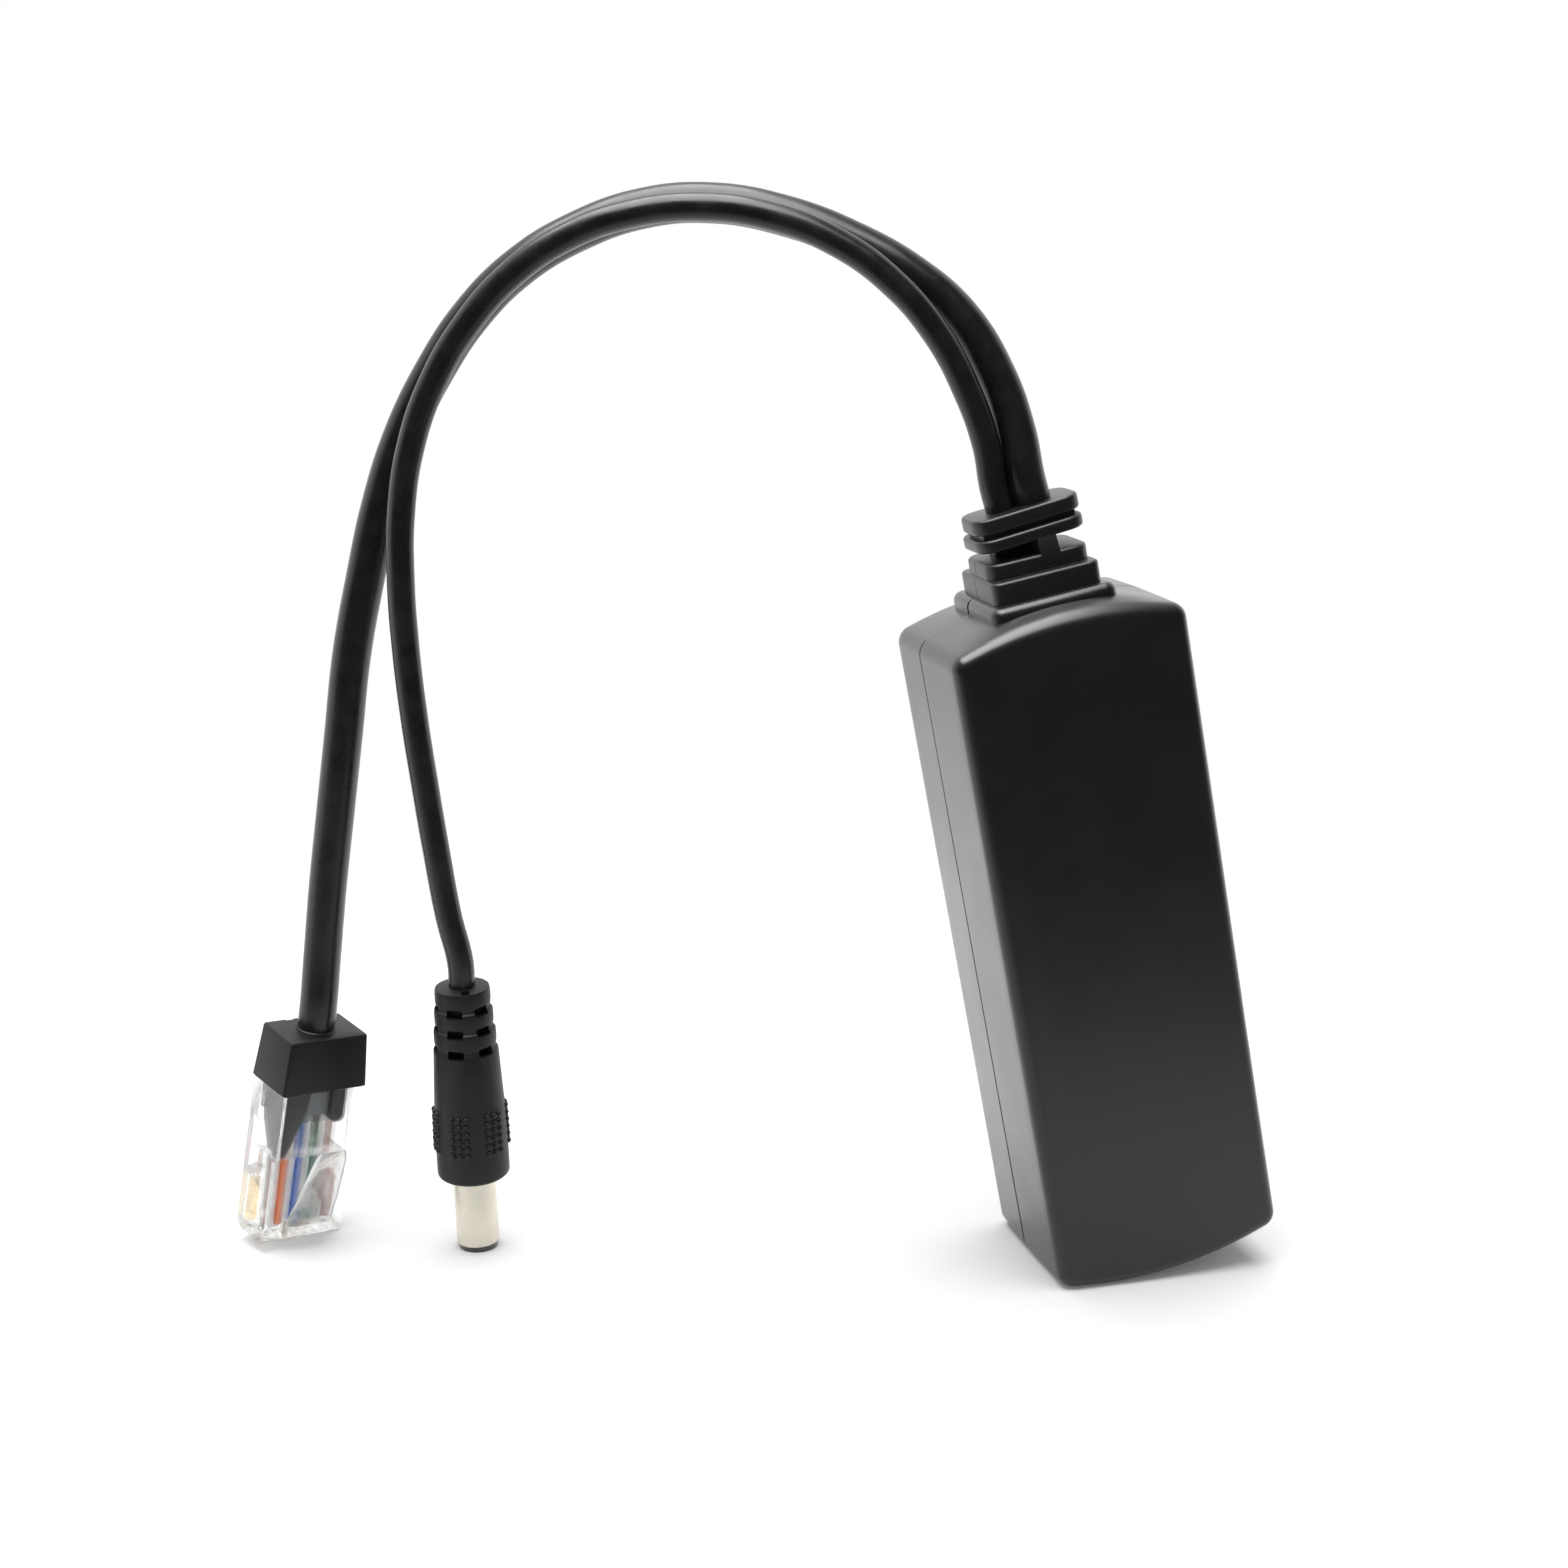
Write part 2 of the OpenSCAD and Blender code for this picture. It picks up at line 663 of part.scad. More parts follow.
module socket_contact(i) {
    y = opening_y + opening_h / 2 - contact_gap;
    top = socket_face + opening_l;
    bend = top - contact_run;
    tip = top - contact_tip_run;
    color([0.85, 0.68, 0.3]) in_housing() translate([pin_x(i) + blade_t / 2, 0, 0]) rotate([0, -90, 0])
        linear_extrude(blade_t) polygon([
            [top + 0.9, y - contact_t], [top + 0.9, y], [bend, y], [bend - 0.4, y - contact_t],
            [tip, y - contact_rise], [tip + 0.2, y - contact_rise + contact_t],
            [bend + 0.6, y - contact_t - 0.1], [bend + 1, y - contact_t]
        ]);
}

// Isolating transformer of the data pairs.
module network_transformer() {
    color([0.08, 0.08, 0.09]) in_housing() on_board(right_edge - data_transformer_size[0], first_row, data_transformer_size);
}

// Power transformer: a ferrite frame with two windows, a bobbin round its middle leg, a winding on it.
core_window = [3.4, 8.8];
core_leg_w = 3;
bobbin_height = 11;
bobbin_wall = 0.6;
bobbin_flange_t = 0.8;
bobbin_fit = 0.05;
winding_inset = 0.4;
core_y = board_front_y - bobbin_height / 2;

module at_core() {
    translate([left_edge + core_size[0] / 2, core_y, core_row + core_size[2] / 2]) children();
}

// Block round the core's centre with the given size.
module middle_block(size) {
    translate(-size / 2) cube(size);
}

module transformer_core() {
    color([0.3, 0.3, 0.32]) in_housing() at_core() difference() {
        middle_block(core_size);
        for (s = [-1, 1]) translate([s * (core_leg_w + core_window[0]) / 2, 0, 0])
            middle_block([core_window[0], core_size[1] + 1, core_window[1]]);
    }
}

bobbin_hole = [core_leg_w + 2 * bobbin_fit, core_size[1] + 2 * bobbin_fit];
bobbin_tube = bobbin_hole + 2 * bobbin_wall * [1, 1];
bobbin_l = core_window[1] - 2 * bobbin_fit;
bobbin_w = core_leg_w + 2 * core_window[0] - 2 * bobbin_fit;

module transformer_bobbin() {
    color([0.16, 0.16, 0.17]) in_housing() at_core() difference() {
        union() {
            middle_block([bobbin_tube[0], bobbin_tube[1], bobbin_l]);
            for (s = [-1, 1]) translate([0, 0, s * (bobbin_l - bobbin_flange_t) / 2])
                middle_block([bobbin_w, bobbin_height, bobbin_flange_t]);
        }
        middle_block([bobbin_hole[0], bobbin_hole[1], bobbin_l + 1]);
    }
}

module transformer_winding() {
    color([0.9, 0.75, 0.2]) in_housing() at_core() difference() {
        middle_block([bobbin_w - 2 * winding_inset, bobbin_height - 2 * winding_inset,
            bobbin_l - 2 * bobbin_flange_t]);
        middle_block([bobbin_tube[0], bobbin_tube[1], bobbin_l]);
    }
}

// Round capacitor that stands on the board's right edge, in the row that starts at z.
module capacitor(z) {
    translate([right_edge - capacitor_d / 2, board_front_y, z + capacitor_d / 2])
        rotate([90, 0, 0]) cylinder(d = capacitor_d, h = capacitor_h);
}

module input_capacitor() {
    color([0.12, 0.13, 0.2]) in_housing() capacitor(core_row);
}

module output_capacitor() {
    color([0.12, 0.13, 0.2]) in_housing() capacitor(output_row);
}

// Two rectifiers let the splitter take power of either polarity.
module bridge_rectifier_1() {
    color([0.1, 0.1, 0.1]) in_housing() on_board(left_edge, first_row, rectifier_size);
}

module bridge_rectifier_2() {
    color([0.1, 0.1, 0.1]) in_housing()
        on_board(left_edge, first_row + rectifier_size[2] + 2 * part_gap, rectifier_size);
}

module controller_chip() {
    color([0.1, 0.1, 0.1]) in_housing() on_board(right_edge - chip_size[0], chip_row, chip_size);
}

module output_diode() {
    color([0.1, 0.1, 0.1]) in_housing()
        on_board(right_edge - chip_size[0] - part_gap - diode_size[0], chip_row, diode_size);
}

// Drum core with its winding.
drum_leg_d = 4;
drum_flange_t = 1.2;
drum_fit = 0.1;

module at_choke() {
    translate([left_edge + drum_d / 2, board_front_y, choke_row + drum_d / 2]) rotate([90, 0, 0]) children();
}

module choke_core() {
    color([0.25, 0.25, 0.27]) in_housing() at_choke() union() {
        cylinder(d = drum_d, h = drum_flange_t);
        cylinder(d = drum_leg_d, h = drum_h);
        translate([0, 0, drum_h - drum_flange_t]) cylinder(d = drum_d, h = drum_flange_t);
    }
}

module choke_winding() {
    color([0.72, 0.4, 0.2]) in_housing() at_choke() difference() {
        translate([0, 0, drum_flange_t + drum_fit])
            cylinder(d = drum_d - 0.6, h = drum_h - 2 * drum_flange_t - 2 * drum_fit);
        cylinder(d = drum_leg_d + drum_fit, h = drum_h);
    }
}

module optocoupler() {
    color([0.1, 0.1, 0.1]) in_housing()
        on_board(left_edge + drum_d + part_gap, output_row, optocoupler_size);
}

// Places a child drawn in the network plug's frame, with the nose at z = 0 and the latch at -Y.
module in_network_plug() {
    translate([network_plug_x, network_plug_y, network_plug_z])
        rotate(network_plug_turn) children();
}

// Side outline of the clear plug, from the latch side to the contact side, as [y, z].
module plug_side() {
    polygon([
        [nose_front_y + nose_chamfer, 0], [plug_back_y - back_chamfer, 0], [plug_back_y, back_chamfer],
        [plug_back_y, plug_l], [-plug_d / 2, plug_l], [-plug_d / 2, nose_l],
        [nose_front_y, nose_l - step_rise], [nose_front_y, nose_chamfer]
    ]);
}

// Stretch of a [y, z] outline across X.
module across(w) {
    translate([-w / 2, 0, 0]) rotate([90, 0, 90]) linear_extrude(w) children();
}

// Latch moulded in one with the plug: a wide root near the tip and a narrow arm that stands off.
module latch() {
    root = nose_front_y;
    under = root - latch_gap;
    end = root - latch_lift;
    tip = nose_l + 0.6;
    across(latch_root_w) polygon([
        [root + 0.3, nose_chamfer], [root + 0.3, 2.6], [root - 0.2, 2.9], [under, latch_start + 0.4],
        [under - latch_t, latch_start + 0.4], [under - latch_t, latch_start - 0.6], [root - 0.5, 0.9]
    ]);
    across(latch_tip_w) polygon([
        [under, latch_start], [end + 0.2, tip], [end - latch_t + 0.3, tip],
        [end - latch_t, tip - 0.4], [under - latch_t, latch_start]
    ]);
}

// Clear body with a channel for the conductors, slots for the contacts and a cavity at its back.
module plug_body() {
    color([0.9, 0.93, 0.95, 0.5]) in_network_plug() difference() {
        union() {
            across(plug_w) plug_side();
            latch();
        }
        translate([0, conductor_y, 0])
            bar(pins * pin_pitch + 0.2, channel_d, channel_bottom, cavity_bottom + overlap);
        bar(cavity_w, cavity_d, cavity_bottom, plug_l + 1);
        across(crimp_window_w) polygon([
            [plug_back_y - crimp_window_d, window_bottom], [plug_back_y + 1, window_bottom - window_flare],
            [plug_back_y + 1, window_top + window_flare], [plug_back_y - crimp_window_d, window_top]
        ]);
        for (i = [0:pins - 1])
            translate([pin_x(i) - blade_t / 2 - tongue_fit, conductor_y, blade_bottom - tongue_fit])
                cube([blade_t + 2 * tongue_fit, plug_back_y, blade_top - blade_bottom + 2 * tongue_fit]);
    }
}

// Wall of the moulded boot that reaches down into the clear plug, split by an arch.
module boot_tongues() {
    inner_w = cavity_w - 2 * tongue_fit;
    inner_d = cavity_d - 2 * tongue_fit;
    difference() {
        bar(inner_w, inner_d, cavity_bottom + tongue_lift, plug_l + overlap);
        translate([0, inner_d, cavity_bottom + tongue_lift]) rotate([90, 0, 0])
            linear_extrude(2 * inner_d) polygon([
                [-inner_w / 2 + 1.4, -1], [-1.6, 2.6], [0, 3.4], [1.6, 2.6], [inner_w / 2 - 1.4, -1]
            ]);
    }
}

// Black boot moulded onto the cord behind the plug, with a low collar round the cord.
module plug_boot() {
    top_w = boot_w - boot_taper;
    top_d = boot_d - boot_taper / 2;
    block_top = plug_l + boot_h - boot_collar_h;
    color([0.1, 0.1, 0.11]) in_network_plug() difference() {
        union() {
            boot_tongues();
            skin([
                [for (p = rounded_outline(boot_w, boot_d, boot_edge_r, 2)) [p[0], p[1], plug_l]],
                [for (p = rounded_outline(top_w, top_d, boot_edge_r, 2)) [p[0], p[1], block_top]]
            ]);
            translate([0, 0, block_top - overlap])
                cylinder(d = network_cord_d + 2 * boot_collar_h, h = boot_collar_h + overlap);
        }
        for (i = [0:pins - 1]) translate([pin_x(i), conductor_y, 0])
            cylinder(d = conductor_d + 2 * tongue_fit, h = conductor_top + 2 * tongue_fit);
        translate([notch_x - notch_w / 2, top_d / 2 - notch_d, block_top - notch_d])
            cube([notch_w, notch_d + 1, notch_d + 1]);
    }
}

// Flat contact blade, pressed onto its conductor from the contact side.
module plug_contact(i) {
    foot = conductor_y + conductor_d / 2 + tongue_fit;
    edge = plug_back_y - blade_sink;
    color([0.9, 0.72, 0.3]) in_network_plug() translate([pin_x(i), 0, 0])
        across(blade_t) polygon([
            [foot, blade_bottom + 1], [edge - 0.2, blade_bottom], [edge, blade_bottom + 0.4],
            [edge, blade_top], [edge - 1.1, blade_top], [foot, blade_top - 1]
        ]);
}

// Insulated conductor from the contacts into the boot.
module conductor(i, tint) {
    start = channel_bottom + 2 * tongue_fit;
    color(tint) in_network_plug() translate([pin_x(i), conductor_y, start])
        cylinder(d = conductor_d, h = conductor_top - start);
}

// Places a child drawn in the power plug's frame, with the tip at z = 0.
module in_power_plug() {
    translate([power_plug_x, power_plug_y, power_plug_z]) rotate(power_plug_turn) children();
}

handle_flex_z = barrel_l + handle_l - handle_rings * handle_ring_h;
handle_grip_z = barrel_l + 3;
handle_rim = 0.4;
end_rim = 0.6;
ring_step = 0.25;
pocket_w = 2;
pocket_h = 1.1;
pocket_depth = 1;
pocket_turn = -87;
grip_middle_z = handle_grip_z + 7;
bump_start = barrel_l + 4.3;
bump_sink = 0.1;

// Radius of the grip at a height between its front and its back.
function grip_radius(z) = z < grip_middle_z
    ? handle_front_d / 2 + (handle_middle_d - handle_front_d) / 2 * (z - handle_grip_z) / (grip_middle_z - handle_grip_z)
    : handle_middle_d / 2 + (handle_back_d - handle_middle_d) / 2 * (z - grip_middle_z) / (handle_flex_z - grip_middle_z);

// Groups of bumps round the grip, in line with the pockets.
module grip_bumps() {
    for (j = [0:pockets_round - 1]) for (c = [0:bump_columns - 1]) for (i = [0:bump_rows - 1]) {
        z = bump_start + i * bump_pitch;
        side = (c - (bump_columns - 1) / 2) * bump_pitch;
        turn = 360 * (j + 0.5) / pockets_round + pocket_turn;
        rotate([0, 0, turn + asin(side / grip_radius(z))])
            translate([grip_radius(z) - bump_sink, 0, z]) sphere(r = bump_r);
    }
}

// Moulded handle: a smooth grip, then flexible rings with pockets round each step.
module power_plug_handle() {
    end = barrel_l + handle_l;
    front_r = handle_front_d / 2;
    back_r = handle_back_d / 2;
    end_r = handle_end_d / 2;
    color([0.1, 0.1, 0.11]) in_power_plug() difference() {
        union() {
            rotate_extrude() polygon(concat(
                [[0, barrel_l], [front_r - handle_rim, barrel_l], [front_r, barrel_l + handle_rim]],
                [[front_r, handle_grip_z], [handle_middle_d / 2, grip_middle_z], [back_r, handle_flex_z]],
                [for (k = [0:handle_rings - 1]) let (
                    z = handle_flex_z + k * handle_ring_h,
                    r = back_r + (end_r - back_r) * (k + 1) / handle_rings,
                    last = k == handle_rings - 1 ? end_rim : 0
                ) each [[r - ring_step, z], [r, z + ring_step], [r, z + handle_ring_h - last - overlap]]],
                [[end_r - end_rim, end], [0, end]]
            ));
            grip_bumps();
        }
        for (k = [0:handle_rings - 1]) for (j = [0:pockets_round - 1])
            rotate([0, 0, 360 * (j + 0.5) / pockets_round + pocket_turn])
                translate([end_r - pocket_depth, -pocket_w / 2, end - (k + 1) * handle_ring_h - pocket_h / 2])
                    cube([2 * pocket_depth + 1, pocket_w, pocket_h]);
        translate([0, 0, barrel_l - 1]) cylinder(d = shank_d, h = shank_l + 1);
    }
}

// Outer contact: a thin tube whose shank is held in the handle.
module power_plug_sleeve() {
    color([0.75, 0.74, 0.72]) in_power_plug() difference() {
        union() {
            translate([0, 0, tip_l]) cylinder(d = barrel_d, h = barrel_l - tip_l);
            translate([0, 0, tip_l]) cylinder(d = shank_d, h = barrel_l + shank_l - tip_l);
        }
        cylinder(d = sleeve_bore_d, h = barrel_l - bore_step);
        cylinder(d = shank_bore_d, h = barrel_l + shank_l + 1);
    }
}

// Insulating core of the barrel, with the black ring that shows at its tip.
module power_plug_insulator() {
    color([0.08, 0.08, 0.08]) in_power_plug() difference() {
        union() {
            cylinder(d1 = tip_d, d2 = barrel_d, h = tip_l);
            translate([0, 0, tip_l - overlap]) cylinder(d = sleeve_bore_d, h = barrel_l - bore_step - tip_l + overlap);
            translate([0, 0, tip_l]) cylinder(d = shank_bore_d, h = barrel_l + shank_l - 1 - tip_l);
        }
        translate([0, 0, -1]) cylinder(d = centre_tube_d, h = centre_tube_l + 1);
    }
}

// Inner contact that takes the socket's pin.
module power_plug_centre() {
    color([0.8, 0.78, 0.74]) in_power_plug() difference() {
        translate([0, 0, tip_l]) cylinder(d = centre_tube_d, h = centre_tube_l - tip_l);
        cylinder(d = centre_bore_d, h = barrel_l);
    }
}

white_tint = [0.9, 0.88, 0.86];
orange_tint = [0.9, 0.45, 0.2];
green_tint = [0.25, 0.5, 0.4];
blue_tint = [0.3, 0.42, 0.75];
brown_tint = [0.5, 0.28, 0.25];

front_shell();
back_shell();
strain_relief();
network_cord();
power_cord();
circuit_board();
socket_block();
socket_contact(0);  // socket_contact_1
socket_contact(1);  // socket_contact_2
socket_contact(2);  // socket_contact_3
socket_contact(3);  // socket_contact_4
socket_contact(4);  // socket_contact_5
socket_contact(5);  // socket_contact_6
socket_contact(6);  // socket_contact_7
socket_contact(7);  // socket_contact_8
network_transformer();
transformer_core();
transformer_bobbin();
transformer_winding();
input_capacitor();
output_capacitor();
bridge_rectifier_1();
bridge_rectifier_2();
controller_chip();
output_diode();
choke_core();
choke_winding();
optocoupler();
network_cord_end();
power_cord_end();
plug_body();
plug_boot();
plug_contact(0);  // plug_contact_1
plug_contact(1);  // plug_contact_2
plug_contact(2);  // plug_contact_3
plug_contact(3);  // plug_contact_4
plug_contact(4);  // plug_contact_5
plug_contact(5);  // plug_contact_6
plug_contact(6);  // plug_contact_7
plug_contact(7);  // plug_contact_8
conductor(0, white_tint);  // conductor_1
conductor(1, orange_tint);  // conductor_2
conductor(2, white_tint);  // conductor_3
conductor(3, blue_tint);  // conductor_4
conductor(4, white_tint);  // conductor_5
conductor(5, green_tint);  // conductor_6
conductor(6, white_tint);  // conductor_7
conductor(7, brown_tint);  // conductor_8
power_plug_handle();
power_plug_sleeve();
power_plug_insulator();
power_plug_centre();
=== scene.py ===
"""Looks of a small power splitter: a leaning black housing, two cords over one arch, and two plugs.

Every piece is built in millimetres in the frame of its own sub-assembly and set down in the row
frame in metres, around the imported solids.
"""

import json
import logging
import math
from collections.abc import Callable
from dataclasses import dataclass, field
from enum import Enum
from itertools import product

import bmesh
import bpy
from mathutils import Euler, Matrix, Vector


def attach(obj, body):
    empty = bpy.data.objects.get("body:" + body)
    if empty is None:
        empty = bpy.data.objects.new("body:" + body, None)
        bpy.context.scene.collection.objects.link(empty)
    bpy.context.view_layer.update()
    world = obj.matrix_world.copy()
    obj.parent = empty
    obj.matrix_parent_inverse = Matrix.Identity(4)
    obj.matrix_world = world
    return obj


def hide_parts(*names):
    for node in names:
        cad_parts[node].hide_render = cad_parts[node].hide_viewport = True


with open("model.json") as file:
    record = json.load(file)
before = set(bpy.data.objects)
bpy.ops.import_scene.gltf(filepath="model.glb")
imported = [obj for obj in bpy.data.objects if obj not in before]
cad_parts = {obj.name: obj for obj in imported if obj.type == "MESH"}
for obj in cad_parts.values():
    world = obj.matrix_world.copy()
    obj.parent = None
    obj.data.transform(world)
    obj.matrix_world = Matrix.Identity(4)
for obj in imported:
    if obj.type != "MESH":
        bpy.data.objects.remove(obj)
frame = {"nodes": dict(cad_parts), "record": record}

MM = 0.001  # metres
BODY = "root"
LOG = logging.getLogger("splitter")
CONTACTS = 8
UP = (0.0, 0.0, 1.0)

# In millimetres
SPARE = 1.0  # how far a cutting tool reaches past what it cuts
TOUCH = 0.01  # overlap that makes two faces join cleanly
WELD = 0.0005  # corners closer than this become one

Outline = list[tuple[float, float]]
Ring = list[Vector]
Tint = tuple[float, float, float]
Spot = tuple[float, float, float]


# Shader graph


def math_method(operation: str, swapped: bool = False) -> "Callable[[Val, Val | float], Val]":
    """Operator of Val that adds one Math node.

    Args:
        operation: Operation of the Math node.
        swapped: Whether the other value comes first.

    Returns:
        The method.
    """

    def method(value: "Val", other: "Val | float") -> "Val":
        """Result of the Math node."""
        first, second = (other, value) if swapped else (value, other)
        return value.graph.node("ShaderNodeMath", {"operation": operation}, {0: first, 1: second})

    return method


class Val:
    """A socket of a shader graph that takes part in Python expressions."""

    __add__ = math_method("ADD")
    __radd__ = math_method("ADD", swapped=True)
    __sub__ = math_method("SUBTRACT")
    __rsub__ = math_method("SUBTRACT", swapped=True)
    __mul__ = math_method("MULTIPLY")
    __rmul__ = math_method("MULTIPLY", swapped=True)
    larger = math_method("MAXIMUM")

    def __init__(self, graph: "Graph", socket: bpy.types.NodeSocket) -> None:
        """Wraps a socket of the graph."""
        self.graph = graph
        self.socket = socket

    def span(self, low: float, high: float, to_low: float = 0.0, to_high: float = 1.0) -> "Val":
        """Smooth step from low to high, scaled to a new range."""
        sockets = {0: self, 1: low, 2: high, 3: to_low, 4: to_high}
        return self.graph.node("ShaderNodeMapRange", {"interpolation_type": "SMOOTHSTEP"}, sockets)


class Graph:
    """Node tree of a material or of the world, emptied and ready to fill."""

    def __init__(self, owner: bpy.types.Material | bpy.types.World) -> None:
        """Turns on the owner's nodes and clears them."""
        owner.use_nodes = True
        self.tree = owner.node_tree
        self.tree.nodes.clear()

    def node(
        self,
        kind: str,
        settings: dict[str, object] | None = None,
        inputs: dict[int | str, object] | None = None,
        output: int | str = 0,
    ) -> Val:
        """Adds one node.

        Args:
            kind: Blender's name of the node type.
            settings: Properties that are set before the sockets, such as an operation.
            inputs: Value or link of each socket, by number or name.
            output: The socket that is returned.

        Returns:
            The chosen output socket.
        """
        made = self.tree.nodes.new(kind)
        for name, value in (settings or {}).items():
            setattr(made, name, value)
        for key, value in (inputs or {}).items():
            socket = made.inputs[key]
            if isinstance(value, Val):
                self.tree.links.new(value.socket, socket)
            else:
                socket.default_value = value
        return Val(self, made.outputs[output])

    def place(self) -> Val:
        """Position in the object's own coordinates, in metres."""
        return self.node("ShaderNodeTexCoord", output="Object")

    def noise(self, size_mm: float, detail: float = 2.0) -> Val:
        """Noise whose blotches are about size_mm across, around one half."""
        sockets = {"Vector": self.place(), "Scale": 1 / (size_mm * MM), "Detail": detail}
        return self.node("ShaderNodeTexNoise", {"noise_dimensions": "3D"}, sockets)

    def part(self, vector: Val, axis: int) -> Val:
        """One coordinate of a vector."""
        return self.node("ShaderNodeSeparateXYZ", {}, {0: vector}, axis)

    def blend(self, share: Val, first: object, second: object) -> Val:
        """Colour that goes from first to second as share goes from 0 to 1."""
        return self.node("ShaderNodeMix", {"data_type": "RGBA"}, {0: share, 6: first, 7: second}, 2)

    def bump(self, height: Val, depth_mm: float) -> Val:
        """Normal bent by a height of depth_mm for a value of one."""
        sockets = {"Height": height, "Distance": depth_mm * MM, "Strength": 1.0}
        return self.node("ShaderNodeBump", {}, sockets, "Normal")

    def ray(self, kind: str) -> Val:
        """One for rays of a kind, else nought."""
        return self.node("ShaderNodeLightPath", output=f"Is {kind} Ray")

    def principled(self, sockets: dict[str, object]) -> Val:
        """Shader of a surface."""
        return self.node("ShaderNodeBsdfPrincipled", {}, sockets)

    def emission(self, strength: float) -> Val:
        """Shader that glows white."""
        return self.node("ShaderNodeEmission", {}, {"Strength": strength})

    def mix(self, share: Val, first: Val, second: Val) -> Val:
        """Shader that goes from first to second as share goes from 0 to 1."""
        return self.node("ShaderNodeMixShader", {}, {0: share, 1: first, 2: second})

    def surface(self, shader: Val, kind: str = "ShaderNodeOutputMaterial") -> None:
        """Links the shader to a new output of a kind."""
        out = self.tree.nodes.new(kind)
        self.tree.links.new(shader.socket, out.inputs["Surface"])


def colour(tint: Tint, factor: float = 1.0) -> tuple[float, float, float, float]:
    """Linear colour times a factor, with full opacity."""
    return (*(c * factor for c in tint), 1.0)


@dataclass(frozen=True)
class Finish:
    """A finish that every kind of surface shares: a name and a way to fill the graph."""

    name: str

    def material(self) -> bpy.types.Material:
        """Material with this finish, made once.

        Returns:
            The material.
        """
        name = f"finish_{self.name}"
        found = bpy.data.materials.get(name)
        if found is not None:
            return found
        made = bpy.data.materials.new(name)
        graph = Graph(made)
        graph.surface(self.shader(graph))
        return made

    def shader(self, graph: Graph) -> Val:
        """Shader of the finish; each kind fills its own."""
        raise NotImplementedError


@dataclass(frozen=True)
class MouldedPlastic(Finish):
    """Opaque moulded plastic or rubber with a fine spark-eroded grain."""

    tint: Tint = (0.008, 0.0085, 0.0095)
    roughness: float = 0.42
    grain_mm: float = 0.2
    grain_depth_mm: float = 0.01
    cloud_mm: float = 9.0
    cloud_rough: float = 0.03
    dust_mm: float = 0.9
    dust_share: float = 0.4
    dust_rough: float = 0.06
    mottle: float = 0.2
    specular: float = 0.5
    coat: float = 1.0

    def shader(self, graph: Graph) -> Val:
        """Dark body colour with faint mottling, a grained normal and uneven roughness.

        Args:
            graph: Node tree to fill.

        Returns:
            The shader.
        """
        cloud = graph.noise(self.cloud_mm, 3.0)
        grain = graph.noise(self.grain_mm)
        dust = graph.noise(self.dust_mm, 4.0)
        tone = cloud.span(0.3, 0.7) * (1 - self.dust_share) + dust * self.dust_share
        rough = cloud.span(0.3, 0.7, self.roughness - self.cloud_rough, self.roughness + self.cloud_rough)
        dark, light = colour(self.tint, 1 - self.mottle), colour(self.tint, 1 + self.mottle)
        return graph.principled({
            "Base Color": graph.blend(tone, dark, light),
            "Roughness": rough + dust * self.dust_rough - self.dust_rough / 2,
            "Specular IOR Level": self.specular,
            "Coat Weight": self.coat,
            "Coat Roughness": self.roughness,
            "Normal": graph.bump(grain + dust * self.dust_share, self.grain_depth_mm),
        })


@dataclass(frozen=True)
class CordJacket(Finish):
    """Soft vinyl jacket: smooth, with long low waves from the conductors inside."""

    tint: Tint = (0.006, 0.0065, 0.0075)
    roughness: float = 0.3
    wave_mm: float = 9.0
    wave_depth_mm: float = 0.04
    scuff_mm: float = 3.0
    scuff_tone: float = 1.5
    coat: float = 0.3

    def shader(self, graph: Graph) -> Val:
        """Dark vinyl with slow waves, a little scuffing and a satin sheen.

        Args:
            graph: Node tree to fill.

        Returns:
            The shader.
        """
        scuff = graph.noise(self.scuff_mm, 3.0)
        light = colour(self.tint, self.scuff_tone)
        return graph.principled({
            "Base Color": graph.blend(scuff.span(0.35, 0.75), colour(self.tint), light),
            "Roughness": scuff.span(0.3, 0.75, self.roughness - 0.05, self.roughness + 0.07),
            "Coat Weight": self.coat,
            "Coat Roughness": self.roughness,
            "Normal": graph.bump(graph.noise(self.wave_mm, 0.0), self.wave_depth_mm),
        })


@dataclass(frozen=True)
class ClearPlastic(Finish):
    """Clear plastic with faint flow marks."""

    tint: Tint = (0.97, 0.98, 0.985)
    roughness: float = 0.03
    haze_mm: float = 0.7
    haze_rough: float = 0.08
    flow_mm: float = 2.2
    flow_depth_mm: float = 0.05
    ior: float = 1.32
    opacity: float = 0.74

    def shader(self, graph: Graph) -> Val:
        """Clear body whose skin waves a little.

        Args:
            graph: Node tree to fill.

        Returns:
            The shader.
        """
        haze = graph.noise(self.haze_mm, 3.0)
        return graph.principled({
            "Base Color": colour(self.tint),
            "Roughness": haze.span(0.4, 0.8, self.roughness, self.roughness + self.haze_rough),
            "IOR": self.ior,
            "Transmission Weight": 1.0,
            "Alpha": self.opacity,
            "Normal": graph.bump(graph.noise(self.flow_mm, 1.0), self.flow_depth_mm),
        })


